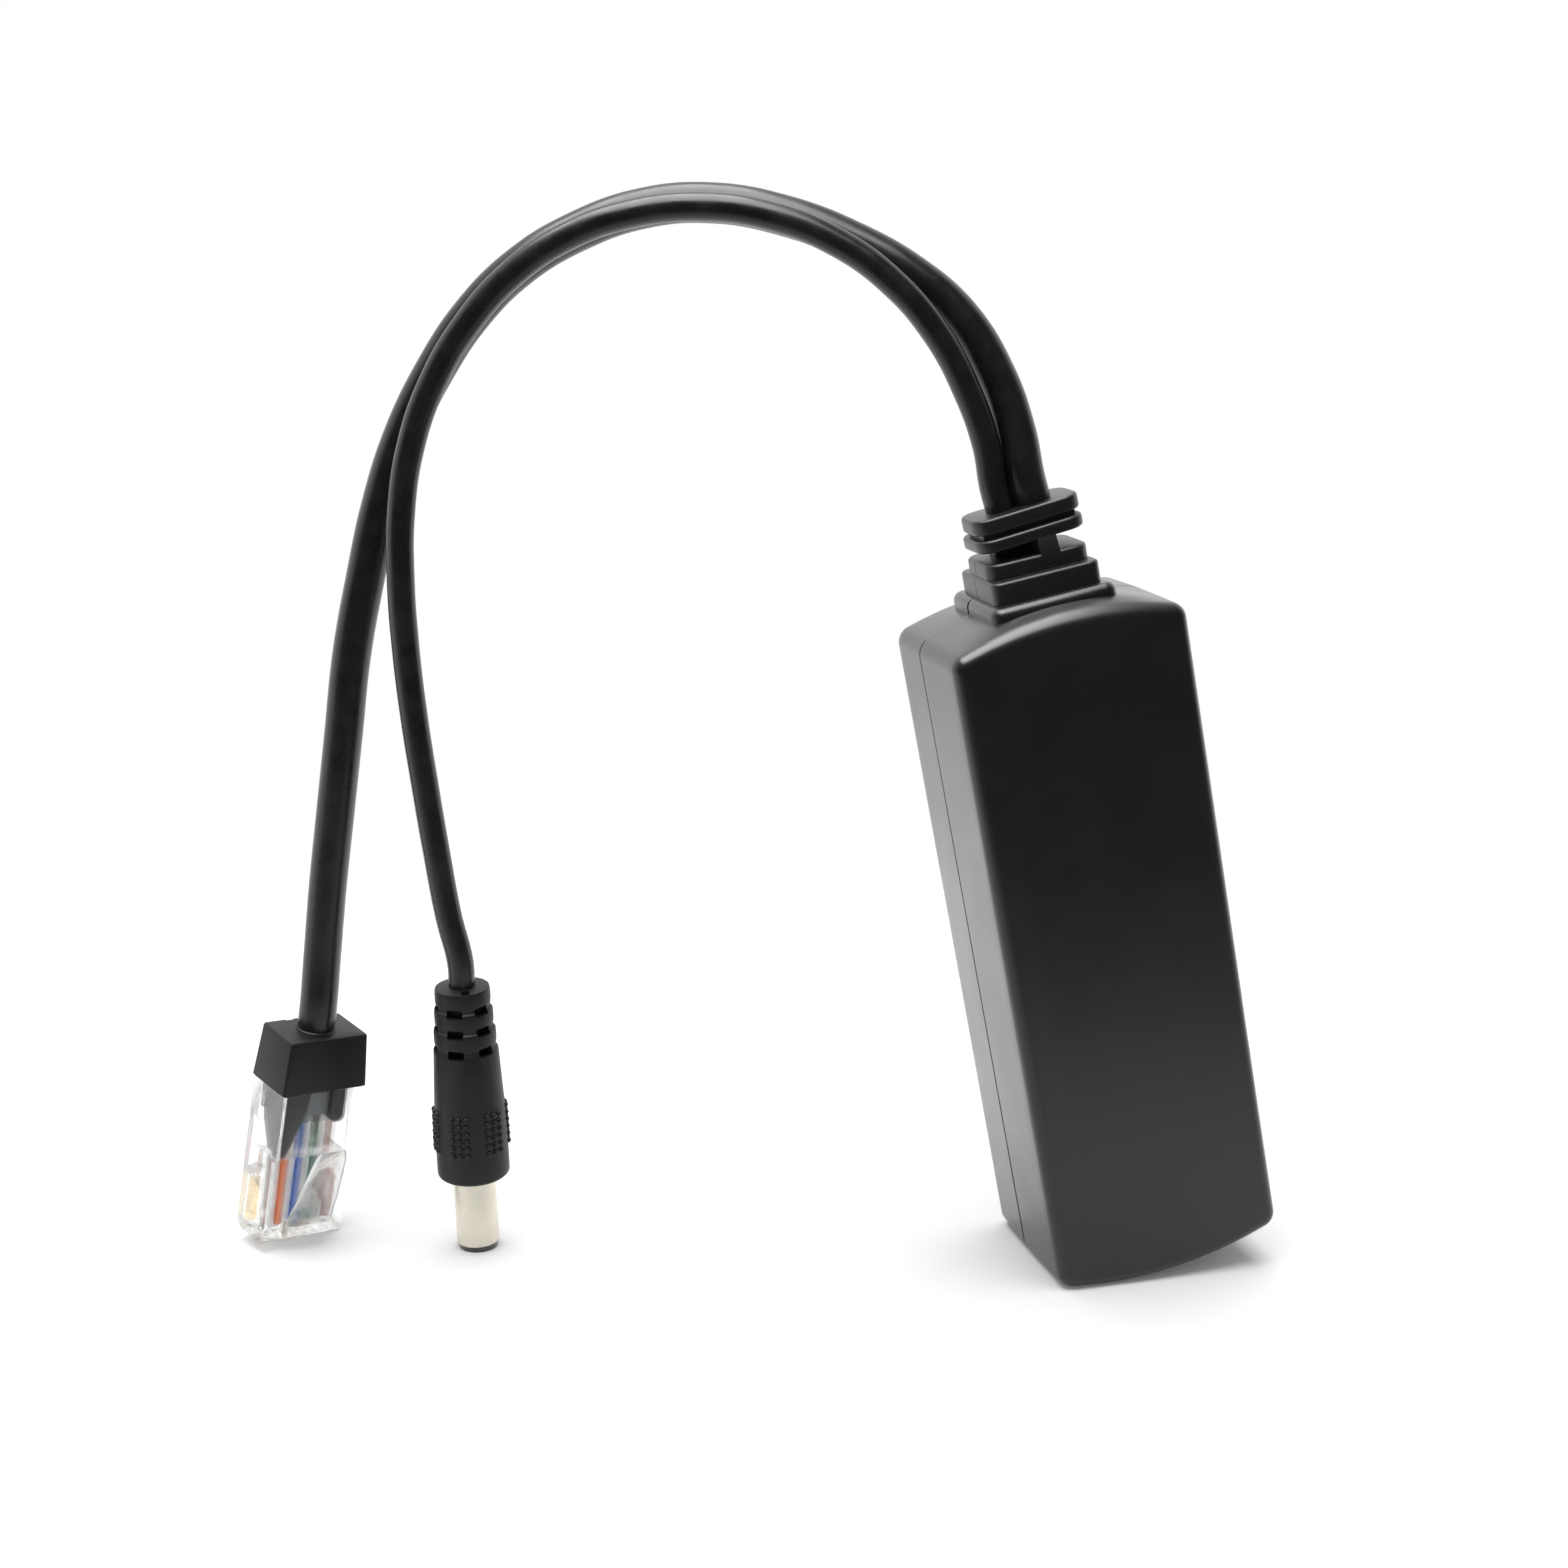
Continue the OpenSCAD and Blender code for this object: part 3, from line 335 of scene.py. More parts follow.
@dataclass(frozen=True)
class Metal(Finish):
    """Plated metal with faint drawing lines and handling marks."""

    tint: Tint = (0.75, 0.72, 0.68)
    roughness: float = 0.18
    mark_mm: float = 0.8
    mark_rough: float = 0.14
    line_mm: float = 0.12
    line_depth_mm: float = 0.001
    wear: float = 0.8

    def shader(self, graph: Graph) -> Val:
        """Plated surface with slightly uneven gloss.

        Args:
            graph: Node tree to fill.

        Returns:
            The shader.
        """
        marks = graph.noise(self.mark_mm, 5.0)
        dull = colour(self.tint, self.wear)
        return graph.principled({
            "Base Color": graph.blend(marks.span(0.35, 0.7), colour(self.tint), dull),
            "Metallic": 1.0,
            "Roughness": marks.span(0.3, 0.75, self.roughness, self.roughness + self.mark_rough),
            "Normal": graph.bump(graph.noise(self.line_mm), self.line_depth_mm),
        })


@dataclass(frozen=True)
class WireInsulation(Finish):
    """Thin coloured insulation, a little uneven in tone."""

    tint: Tint = (0.8, 0.78, 0.76)
    tone_mm: float = 1.4
    tone_depth_mm: float = 0.02
    pale_gain: float = 1.15
    pale_lift: float = 0.02

    def shader(self, graph: Graph) -> Val:
        """Smooth coloured skin.

        Args:
            graph: Node tree to fill.

        Returns:
            The shader.
        """
        tone = graph.noise(self.tone_mm, 3.0)
        pale = colour(tuple(c * self.pale_gain + self.pale_lift for c in self.tint))
        return graph.principled({
            "Base Color": graph.blend(tone.span(0.3, 0.7), colour(self.tint), pale),
            "Roughness": tone.span(0.3, 0.7, 0.28, 0.4),
            "Normal": graph.bump(tone, self.tone_depth_mm),
        })


@dataclass(frozen=True)
class BoardMask(Finish):
    """Solder mask over copper traces."""

    tint: Tint = (0.015, 0.13, 0.05)
    trace_tint: Tint = (0.03, 0.24, 0.09)
    cell_mm: float = 3.2
    weave_mm: float = 0.3
    weave_share: float = 0.2
    depth_mm: float = 0.03

    def shader(self, graph: Graph) -> Val:
        """Green mask, paler over the traces, with glass weave under it.

        Args:
            graph: Node tree to fill.

        Returns:
            The shader.
        """
        sockets = {"Vector": graph.place(), "Scale": 1 / (self.cell_mm * MM)}
        cells = graph.node("ShaderNodeTexVoronoi", {"feature": "DISTANCE_TO_EDGE"}, sockets)
        trace = cells.span(0.1, 0.14, 1.0, 0.0)
        weave = graph.noise(self.weave_mm)
        return graph.principled({
            "Base Color": graph.blend(trace, colour(self.tint), colour(self.trace_tint)),
            "Roughness": weave.span(0.3, 0.7, 0.25, 0.38),
            "Normal": graph.bump(trace + weave * self.weave_share, self.depth_mm),
        })


SHELL = MouldedPlastic("shell_plastic", (0.0062, 0.0068, 0.0076), 0.33, grain_depth_mm=0.016, coat=0.88)
RELIEF = MouldedPlastic("relief_plastic", (0.006, 0.006, 0.0072), 0.41, grain_depth_mm=0.006, coat=0.8)
BOOT = MouldedPlastic(
    "boot_plastic", (0.007, 0.007, 0.008), 0.42, grain_depth_mm=0.006, specular=0.35, coat=0.1)
HANDLE = MouldedPlastic(
    "handle_plastic", (0.006, 0.007, 0.008), 0.5, grain_depth_mm=0.008, specular=0.4, coat=0.05)
INNER = MouldedPlastic("inner_plastic", (0.02, 0.02, 0.021), 0.4)
JACKET = CordJacket("cord_jacket")
# Pale grey copy of the black jacket: painted light for how the jacket end looks through the clear body.
JACKET_END_PAINTED_LIGHT = MouldedPlastic("jacket_end", (0.14, 0.15, 0.16), 0.4, coat=0.0)
CLEAR = ClearPlastic("clear_plastic")
FINISHES: dict[str, Finish] = {
    "shell_plastic": SHELL,
    "relief_plastic": RELIEF,
    "cord_jacket": JACKET,
    "board": BoardMask("board_mask"),
    "socket_plastic": INNER,
    "contact_gold": Metal("contact_gold", (0.86, 0.62, 0.24), 0.2),
    "chip_epoxy": MouldedPlastic("chip_epoxy", (0.025, 0.025, 0.026), 0.6),
    "ferrite": MouldedPlastic("ferrite", (0.07, 0.07, 0.075), 0.7, grain_depth_mm=0.03),
    "bobbin_plastic": INNER,
    "winding_tape": WireInsulation("winding_tape", (0.75, 0.55, 0.05)),
    "copper_wire": Metal("copper_wire", (0.72, 0.32, 0.14), 0.3),
    "capacitor_sleeve": WireInsulation("capacitor_sleeve", (0.02, 0.03, 0.09)),
    "clear_plastic": CLEAR,
    "wire_white": WireInsulation("wire_white", (0.78, 0.76, 0.74)),
    "wire_orange": WireInsulation("wire_orange", (0.8, 0.18, 0.04)),
    "wire_green": WireInsulation("wire_green", (0.04, 0.2, 0.12)),
    "wire_blue": WireInsulation("wire_blue", (0.03, 0.12, 0.5)),
    "wire_brown": WireInsulation("wire_brown", (0.3, 0.08, 0.07)),
    "plug_nickel": Metal("plug_nickel", (0.8, 0.76, 0.65), 0.22, mark_mm=5.0, wear=0.93),
    "handle_plastic": HANDLE,
    "insulator_plastic": MouldedPlastic("insulator_plastic", (0.012, 0.012, 0.013), 0.3),
}


# Outlines and meshes


def arc(cx: float, cy: float, radius: float, start: float, stop: float, steps: int) -> Outline:
    """Points of an arc round (cx, cy) from one angle to another, in degrees."""
    angles = (math.radians(start + (stop - start) * i / steps) for i in range(steps + 1))
    return [(cx + radius * math.cos(a), cy + radius * math.sin(a)) for a in angles]


def smooth_step(share: float) -> float:
    """Smooth step from 0 to 1, held at both ends."""
    held = min(1.0, max(0.0, share))
    return held * held * (3 - 2 * held)


def ramp(share: float, start: float) -> float:
    """Straight ramp from 0 at the start to 1 at a share of 1."""
    return max(0.0, share - start) / (1 - start)


def rounded(width: float, depth: float, radius: float, steps: int = 6) -> Outline:
    """Outline of a rounded rectangle round the origin.

    Args:
        width: Size along x.
        depth: Size along y.
        radius: Radius of the corners.
        steps: Edges in each corner.

    Returns:
        The outline, anticlockwise.
    """
    x, y = width / 2 - radius, depth / 2 - radius
    corners = ((x, y, 0), (-x, y, 90), (-x, -y, 180), (x, -y, 270))
    return [point for cx, cy, turn in corners for point in arc(cx, cy, radius, turn, turn + 90, steps)]


@dataclass(frozen=True)
class Place:
    """Where a frame in millimetres stands in the row frame."""

    at: tuple[float, float, float] = (0.0, 0.0, 0.0)
    turn: tuple[float, float, float] = (0.0, 0.0, 0.0)

    def matrix(self) -> Matrix:
        """Matrix from local millimetres to metres in the row frame."""
        spin = Euler([math.radians(t) for t in self.turn], "XYZ").to_matrix().to_4x4()
        return Matrix.Translation(Vector(self.at) * MM) @ spin @ Matrix.Scale(MM, 4)

    def point(self, local: tuple[float, float, float]) -> Vector:
        """A local point in metres in the row frame."""
        return self.matrix() @ Vector(local)


def discard(thing: bpy.types.Object) -> None:
    """Removes an object and its mesh."""
    mesh = thing.data
    bpy.data.objects.remove(thing)
    bpy.data.meshes.remove(mesh)


def linked(name: str, data: bpy.types.ID) -> bpy.types.Object:
    """New object with this data, linked to the scene.

    Args:
        name: Name of the object.
        data: Its mesh, curve, lamp or camera.

    Returns:
        The object.
    """
    thing = bpy.data.objects.new(name, data)
    bpy.context.collection.objects.link(thing)
    return thing


class Solid:
    """A closed mesh in local millimetres that can be joined to, cut and rounded."""

    def __init__(self) -> None:
        """Starts an empty solid."""
        self.bm = bmesh.new()

    def stack(self, rings: list[Ring]) -> "Solid":
        """Skin through rings, closed at both ends.

        Args:
            rings: Rings of points, all with the same number of points.

        Returns:
            This solid.
        """
        rows = [[self.bm.verts.new(p) for p in ring] for ring in rings]
        for low, high in zip(rows, rows[1:]):
            for i in range(len(low)):
                self.bm.faces.new((low[i - 1], low[i], high[i], high[i - 1]))
        self.bm.faces.new(list(reversed(rows[0])))
        self.bm.faces.new(rows[-1])
        return self.tidy()

    def tidy(self) -> "Solid":
        """Turns all faces outwards."""
        bmesh.ops.recalc_face_normals(self.bm, faces=self.bm.faces[:])
        return self

    def prism(self, outline: Outline, low: float, high: float, axis: str = "z") -> "Solid":
        """Straight prism of an outline between two heights along an axis.

        Args:
            outline: Points across the axis; for x they are (y, z), for y (x, z), for z (x, y).
            low: Start along the axis.
            high: End along the axis.
            axis: Axis along which the outline is stretched.

        Returns:
            This solid.
        """
        seat = {
            "x": lambda a, b, h: Vector((h, a, b)),
            "y": lambda a, b, h: Vector((a, h, b)),
            "z": lambda a, b, h: Vector((a, b, h)),
        }[axis]
        return self.stack([[seat(a, b, h) for a, b in outline] for h in (low, high)])

    def block(self, low: Spot, high: Spot) -> "Solid":
        """Box between two corners."""
        (x0, y0, z0), (x1, y1, z1) = low, high
        return self.prism([(x0, y0), (x1, y0), (x1, y1), (x0, y1)], z0, z1)

    def revolve(self, profile: Outline, steps: int = 64) -> "Solid":
        """Solid of revolution round Z through (radius, height) points."""
        ways = [(math.cos(t), math.sin(t)) for t in (2 * math.pi * k / steps for k in range(steps))]
        return self.stack([[Vector((r * x, r * y, z)) for x, y in ways] for r, z in profile])

    def moved(self, matrix: Matrix) -> "Solid":
        """Moves the whole solid."""
        self.bm.transform(matrix)
        return self

    def to_object(self, name: str = "part") -> bpy.types.Object:
        """Object with this mesh, linked to the scene.

        Args:
            name: Name of the object and of its mesh.

        Returns:
            The object.
        """
        mesh = bpy.data.meshes.new(name)
        self.bm.to_mesh(mesh)
        return linked(name, mesh)

    def baked(self, thing: bpy.types.Object) -> "Solid":
        """Takes back the mesh of an object with its modifiers.

        Args:
            thing: The object, which is removed.

        Returns:
            This solid.
        """
        graph = bpy.context.evaluated_depsgraph_get()
        self.bm.clear()
        self.bm.from_object(thing, graph)
        discard(thing)
        return self

    def combine(self, other: "Solid", operation: str) -> "Solid":
        """Boolean with another solid.

        Args:
            other: The other solid, which is used up.
            operation: UNION, DIFFERENCE or INTERSECT.

        Returns:
            This solid.
        """
        base, tool = self.to_object(), other.to_object()
        mod = base.modifiers.new("boolean", "BOOLEAN")
        mod.operation, mod.object, mod.solver = operation, tool, "EXACT"
        self.baked(base)
        discard(tool)
        other.bm.free()
        return self

    def gather(self, *others: "Solid") -> "Solid":
        """Takes in the meshes of others that stand apart from each other.

        Args:
            others: The other solids, which are used up.

        Returns:
            This solid.
        """
        for other in others:
            mesh = bpy.data.meshes.new("gathered")
            other.bm.to_mesh(mesh)
            other.bm.free()
            self.bm.from_mesh(mesh)
            bpy.data.meshes.remove(mesh)
        return self

    def join(self, *others: "Solid") -> "Solid":
        """Union with other solids."""
        for other in others:
            self.combine(other, "UNION")
        return self

    def cut(self, *others: "Solid") -> "Solid":
        """Takes other solids away."""
        for other in others:
            self.combine(other, "DIFFERENCE")
        return self

    def soften(self, width: float, angle: float, segments: int) -> "Solid":
        """Rounds the sharp edges.

        Args:
            width: Width of the rounding, in millimetres.
            angle: Edges sharper than this are rounded, in degrees.
            segments: Faces across the rounding.

        Returns:
            This solid.
        """
        thing = self.to_object()
        mod = thing.modifiers.new("bevel", "BEVEL")
        mod.width, mod.segments, mod.limit_method = width, segments, "ANGLE"
        mod.angle_limit = math.radians(angle)
        mod.use_clamp_overlap = True
        return self.baked(thing)

    def piece(
        self, name: str, place: Place, finish: Finish, slot: str, *nodes: str, smooth: float = 32.0
    ) -> None:
        """Sets the solid down as a finished piece.

        Args:
            name: Name of the piece.
            place: Where the solid's own frame stands.
            finish: Its finish.
            slot: Material slot of the record.
            nodes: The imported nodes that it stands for.
            smooth: Edges sharper than this stay sharp, in degrees.
        """
        bmesh.ops.remove_doubles(self.bm, verts=self.bm.verts[:], dist=WELD)
        bmesh.ops.dissolve_degenerate(self.bm, edges=self.bm.edges[:], dist=WELD)
        self.tidy()
        self.bm.transform(place.matrix())
        thing = self.to_object(name)
        thing.data.shade_smooth()
        thing.data.set_sharp_from_angle(angle=math.radians(smooth))
        thing.data.materials.append(finish.material())
        self.bm.free()
        settle(thing, slot, *nodes)


def settle(thing: bpy.types.Object, slot: str, *nodes: str) -> None:
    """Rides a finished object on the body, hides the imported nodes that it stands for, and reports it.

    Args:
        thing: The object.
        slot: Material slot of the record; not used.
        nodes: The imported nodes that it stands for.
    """
    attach(thing, BODY)
    if nodes:
        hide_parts(*nodes)
    LOG.info("piece %s stands for %s", thing.name, ", ".join(nodes) or "itself")


def rounded_block(
    width: float, depth: float, corner: float, low: float, high: float,
    rim: float, low_rim: float = 0.0, steps: int = 5,
) -> Solid:
    """Block with a rounded outline and rounded rims.

    Args:
        width: Size along x.
        depth: Size along y.
        corner: Radius of the upright corners.
        low: Height of its foot.
        high: Height of its top.
        rim: Radius of the upper rim.
        low_rim: Radius of the lower rim.
        steps: Edges in each rim.

    Returns:
        The block.
    """
    turns = [math.pi / 2 * k / steps for k in range(steps + 1)]
    stations = [(0.0, low)]
    if low_rim > 0:
        stations = [(low_rim * (1 - math.sin(t)), low + low_rim * (1 - math.cos(t))) for t in turns]
    stations += [(rim * (1 - math.cos(t)), high - rim * (1 - math.sin(t))) for t in turns]
    sharpest = 0.15
    return Solid().stack([
        [Vector((x, y, z)) for x, y in rounded(width - 2 * i, depth - 2 * i, max(corner - i, sharpest))]
        for i, z in stations
    ])


# The object's sub-assemblies


@dataclass
class Housing:
    """Two-part housing with bowed ends, a seam along its sides and a collar at its upper end."""

    width: float = 30.0
    depth: float = 23.0
    length: float = 82.0
    crown: float = 2.2
    corner: float = 2.2
    face_r: float = 1.6
    wall: float = 1.8
    front_depth: float = 13.0
    lip_height: float = 1.2
    lip_t: float = 0.8
    seam_low: float = 0.34
    seam_high: float = 0.14
    draft: float = 0.12
    lean: float = 11.0
    collar_w: float = 16.0
    collar_d: float = 16.0
    collar_h: float = 3.9
    collar_r: float = 1.1
    collar_notch: float = 0.55
    brow: float = 0.85
    brow_y: float = -7.5
    seam_rise: float = 0.5
    seam_step: float = 0.03
    foot_w: float = 12.4
    foot_d: float = 11.2
    foot_reach: float = 6.0
    socket_w: float = 16.1
    socket_h: float = 12.9
    socket_y: float = -0.4
    face_steps: int = 7
    side_steps: int = 8
    seam_run: float = 0.4
    seam_edge: float = 0.06
    lip_clear: float = 0.1
    collar_corner: float = 1.6
    collar_sink: float = 0.5
    notch_deep: float = 0.9
    brow_from: float = 5.0

    @property
    def end_radius(self) -> float:
        """Radius of the bowed ends."""
        return ((self.width / 2) ** 2 + self.crown**2) / (2 * self.crown)

    @property
    def place(self) -> Place:
        """Frame of the housing: it leans on the lowest point of its lower end."""
        tilt = math.radians(self.lean)
        centre = self.end_radius - self.crown
        at = (self.length / 2 * math.sin(tilt), 0.0, self.end_radius - centre * math.cos(tilt))
        return Place(at, (0.0, -self.lean, 0.0))

    @property
    def seam_y(self) -> float:
        """Depth at which the two shells meet."""
        return -self.depth / 2 + self.front_depth

    def outline(self, inset: float, corner_steps: int = 8, end_steps: int = 36) -> Outline:
        """Outline seen from the front.

        Args:
            inset: Distance inside the outer edge.
            corner_steps: Edges in each corner.
            end_steps: Edges in each bowed end.

        Returns:
            The outline as (x, z) points.
        """
        r = max(self.corner - inset, 0.3)
        half = self.width / 2 - inset - r
        centre = self.end_radius - self.crown
        bow = self.end_radius - inset - r
        swing = math.degrees(math.asin(half / bow))
        low = centre - bow * math.cos(math.radians(swing))
        high = self.length - low
        top = arc(0, self.length - centre, bow + r, 90 + swing, 90 - swing, end_steps)[1:-1]
        bottom = arc(0, centre, bow + r, -90 + swing, -90 - swing, end_steps)[1:-1]
        return (
            arc(-half, high, r, 180, 90 + swing, corner_steps)
            + top
            + arc(half, high, r, 90 - swing, 0, corner_steps)
            + arc(half, low, r, 0, -90 + swing, corner_steps)
            + bottom
            + arc(-half, low, r, -90 - swing, -180, corner_steps)
        )

    def rise(self, x: float, y: float, z: float) -> float:
        """How much the upper end stands above its plain bow, at a point of the outline.

        Args:
            x: Distance from the middle.
            y: Depth.
            z: Height, which tells the upper end from the lower one.

        Returns:
            The rise.
        """
        if z < self.length / 2:
            return 0.0
        edge, brow_y, seam_y = self.depth / 2, self.brow_y, self.seam_y
        middle = self.seam_rise - (self.seam_step if y > seam_y else 0.0)
        if y < brow_y:
            across = self.brow * smooth_step((y + edge) / (brow_y + edge))
        elif y < seam_y:
            across = self.brow + (middle - self.brow) * smooth_step((y - brow_y) / (seam_y - brow_y))
        else:
            across = middle * (1 - smooth_step((y - seam_y) / (edge - seam_y)))
        return across * smooth_step((self.width / 2 - abs(x)) / (self.width / 2 - self.brow_from))

    def seam_gap(self, height: float) -> float:
        """Half width of the seam's groove, which opens towards the lower end."""
        share = min(1.0, max(0.0, height / self.length))
        return (self.seam_low + (self.seam_high - self.seam_low) * share) / 2

    def shell(self, side: int) -> Solid:
        """One shell: its outer skin from the face to the seam, its rim, and its inner skin.

        Args:
            side: -1 for the front shell, which carries the lip, and 1 for the back shell.

        Returns:
            The closed shell without collar and holes.
        """
        face, r = side * self.depth / 2, self.face_r
        turns = [math.pi / 2 * k / self.face_steps for k in range(self.face_steps + 1)]
        skin = [(r * (1 - math.sin(t)) + self.draft, face - side * r * (1 - math.cos(t))) for t in turns]
        start = skin[-1][1]
        run = self.seam_y + side * self.seam_run - start
        shares = [k / self.side_steps for k in range(1, self.side_steps + 1)]
        skin += [(self.draft * (1 - share), start + run * share) for share in shares]
        rings = [[Vector((x, y, z + self.rise(x, y, z))) for x, z in self.outline(inset)]
                 for inset, y in skin]

        def seam_ring(inset: float, offset: float) -> Ring:
            """Ring at the seam whose distance from it follows the groove's width."""
            near = self.seam_y + side * TOUCH
            return [
                Vector((x, self.seam_y + side * (self.seam_gap(z) + offset), z + self.rise(x, near, z)))
                for x, z in self.outline(inset)
            ]

        clear = 0.0 if side < 0 else self.lip_clear
        step = self.wall - self.lip_t - clear
        lip = self.seam_y + self.lip_height + clear
        rings.append(seam_ring(0.0, self.seam_edge * 1.5))
        rings += [seam_ring(inset, 0.0) for inset in (self.seam_edge, step)]
        rings += [[Vector((x, y, z)) for x, z in self.outline(inset)]
                  for inset, y in ((step, lip), (self.wall, lip), (self.wall, face - side * self.wall))]
        return Solid().stack(rings)

    def collar(self, side: int) -> Solid:
        """This shell's half of the raised collar, notched where the halves meet.

        Args:
            side: -1 for the front half and 1 for the back half.

        Returns:
            The half collar.
        """
        low, high = self.length - self.collar_sink, self.length + self.collar_h
        whole = rounded_block(self.collar_w, self.collar_d, self.collar_corner, low, high, self.collar_r)
        near, far = sorted((self.seam_y + side * self.seam_high / 2, side * self.depth))
        keep = Solid().block((-self.width, near, low - SPARE), (self.width, far, high + SPARE))
        tip, end = self.collar_w / 2 - self.notch_deep, self.collar_w / 2 + SPARE
        front, back = self.seam_y - self.collar_notch, self.seam_y + self.collar_notch
        notch = Solid().gather(*(
            Solid().prism(
                [(s * tip, self.seam_y), (s * end, front), (s * end, back)], low - SPARE, high + SPARE)
            for s in (-1, 1)))
        return whole.combine(keep, "INTERSECT").cut(notch)

    def build(self) -> None:
        """Builds and dresses both shells."""
        foot_x, foot_y, reach = self.foot_w / 2, self.foot_d / 2, self.foot_reach
        hole_x, hole_y = self.socket_w / 2, self.socket_h / 2
        for side, node in ((-1, "front_shell"), (1, "back_shell")):
            foot = Solid().block(
                (-foot_x, -foot_y, self.length - reach), (foot_x, foot_y, self.length + reach))
            socket = Solid().block(
                (-hole_x, self.socket_y - hole_y, -self.crown - SPARE),
                (hole_x, self.socket_y + hole_y, self.wall + SPARE),
            )
            shell = self.shell(side).join(self.collar(side)).cut(foot, socket)
            shell.piece(f"{node}_skin", self.place, SHELL, "shell_plastic", node, smooth=28.0)


@dataclass
class StrainRelief:
    """Ribbed moulding that grips both cords where they leave the collar."""

    housing: Housing
    width: float = 13.7
    base_d: float = 12.5
    base_h: float = 2.7
    step_d: float = 9.2
    step_h: float = 1.9
    step_r: float = 2.0
    middle_d: float = 8.2
    middle_h: float = 1.55
    top_d: float = 7.2
    top_h: float = 1.9
    low_groove: float = 1.6
    groove: float = 0.55
    bend: float = 5.7
    ring_bend: float = 3.2
    rim: float = 0.42
    ring_rim: float = 0.38
    rib_w: float = 2.4
    rib_u: float = 1.4
    rib_out: float = 0.12
    rib_drop: float = 1.0
    rib_toe: float = 0.3
    rib_sink: float = 0.2
    rib_brow: float = 0.1
    neck_side: float = 0.85
    low_neck_w: float = 7.8
    low_neck_d: float = 2.6
    low_neck_y: float = 1.4
    neck_front: float = 0.8
    line_y: float = 0.6
    line_w: float = 0.16
    foot_inset: float = 0.75
    exit_h: float = 1.5
    flange_t: float = 1.5
    flange_out: float = 1.0
    flange_gap: float = 0.1
    foot_sink: float = 0.5
    base_r: float = 1.3
    ring_r: float = 2.2
    step_side: float = 0.35
    step_sink: float = 0.4
    neck_r: float = 0.4
    neck_rim: float = 0.05
    neck_sink: float = 0.7
    line_deep: float = 0.12
    line_out: float = 0.5
    line_over: float = 0.1

    @property
    def levels(self) -> dict[str, float]:
        """Heights of the steps and rings in the housing's frame."""
        base = self.housing.length + self.housing.collar_h
        step = base + self.base_h
        middle = step + self.step_h + self.low_groove
        top = middle + self.middle_h + self.groove
        return {"base": base, "step": step, "step_top": step + self.step_h, "middle": middle,
                "top": top, "end": top + self.top_h}

    def bent(self, solid: Solid, tilt: float, pivot: float) -> Solid:
        """Leans a part of the relief to the left about its own middle height."""
        up = Matrix.Translation((0, 0, pivot))
        return solid.moved(up @ Matrix.Rotation(math.radians(-tilt), 4, "Y") @ up.inverted())

    def ring(self, depth: float, low: float, high: float) -> Solid:
        """One flexible ring."""
        made = rounded_block(self.width, depth, self.ring_r, low, high, self.ring_rim, self.ring_rim)
        return self.bent(made, self.ring_bend, (low + high) / 2)

    def neck(
        self, width: float, depth: float, low: float, high: float, tilt: float = 0.0, y: float = 0.0
    ) -> Solid:
        """Neck between two rings.

        Args:
            width: Size along x.
            depth: Size along y.
            low: Top of the ring under it.
            high: Foot of the ring over it.
            tilt: Lean to the left, in degrees.
            y: Distance behind the middle.

        Returns:
            The neck, sunk into both rings.
        """
        sink = self.neck_sink
        made = rounded_block(width, depth, self.neck_r, low - sink, high + sink, self.neck_rim)
        return self.bent(made.moved(Matrix.Translation((0, y, 0))), tilt, (low + high) / 2)

    def rib(self) -> Solid:
        """Rib that leans from the middle ring down over the step's front edge."""
        step, ring = self.levels["step_top"], self.levels["middle"] + self.rib_toe
        root, front = -self.low_neck_d / 2, -self.step_d / 2 - self.rib_out
        out = self.rib_u - self.rib_w / 2
        side = [
            (root, step - self.rib_sink), (front + self.rib_out * 2, step - self.rib_drop - self.rib_toe),
            (front, step - self.rib_drop), (front, step + self.rib_brow),
            (-self.middle_d / 2 + self.neck_rim, ring), (root, ring),
        ]
        return Solid().prism(side, out, out + self.rib_w, "x")

    def foot(self) -> list[Solid]:
        """Foot in the collar and flange under it, inside the housing."""
        h = self.housing
        x, y = self.width / 2 - self.foot_inset, self.base_d / 2 - self.foot_inset
        reach, back = x + self.flange_out, y + self.flange_out
        inner = h.end_radius - h.wall
        top = h.length + math.sqrt(inner**2 - reach**2) - (h.end_radius - h.crown) - self.flange_gap
        return [
            Solid().block((-x, -y, top - SPARE), (x, y, self.levels["base"] + self.foot_sink)),
            Solid().block((-reach, -back, top - self.flange_t), (reach, back, top)),
        ]

    def parting_line(self) -> Solid:
        """Fine grooves down both sides of the base and the step, where the mould parted."""
        at = self.levels
        front, back = self.line_y - self.line_w * 2, self.line_y + self.line_w * 2
        half, over = self.width / 2, self.line_over
        walls = ((half, at["base"], at["step"] + over),
                 (half - self.step_side, at["step"] + self.line_deep, at["step_top"] + over))
        return Solid().gather(*(
            Solid().prism([(s * (wall - self.line_deep), self.line_y), (s * (wall + self.line_out), front),
                           (s * (wall + self.line_out), back)], low, high)
            for s in (-1, 1) for wall, low, high in walls))

    def build(self) -> None:
        """Builds and dresses the relief."""
        at = self.levels
        middle_top = at["middle"] + self.middle_h
        body = rounded_block(self.width, self.base_d, self.base_r, at["base"], at["step"], self.rim)
        body.join(
            *self.foot(),
            rounded_block(self.width - 2 * self.step_side, self.step_d, self.step_r,
                          at["step"] - self.step_sink, at["step_top"], self.rim),
            self.neck(
                self.low_neck_w, self.low_neck_d, at["step_top"], at["middle"], y=self.low_neck_y),
            self.rib(),
            self.ring(self.middle_d, at["middle"], middle_top),
            self.neck(self.width - 2 * self.neck_side, self.top_d - 2 * self.neck_front,
                      middle_top, at["top"], self.ring_bend),
            self.ring(self.top_d, at["top"], at["end"]),
        )
        body.cut(self.parting_line())
        body.piece("strain_relief_skin", self.housing.place, RELIEF, "relief_plastic", "strain_relief")

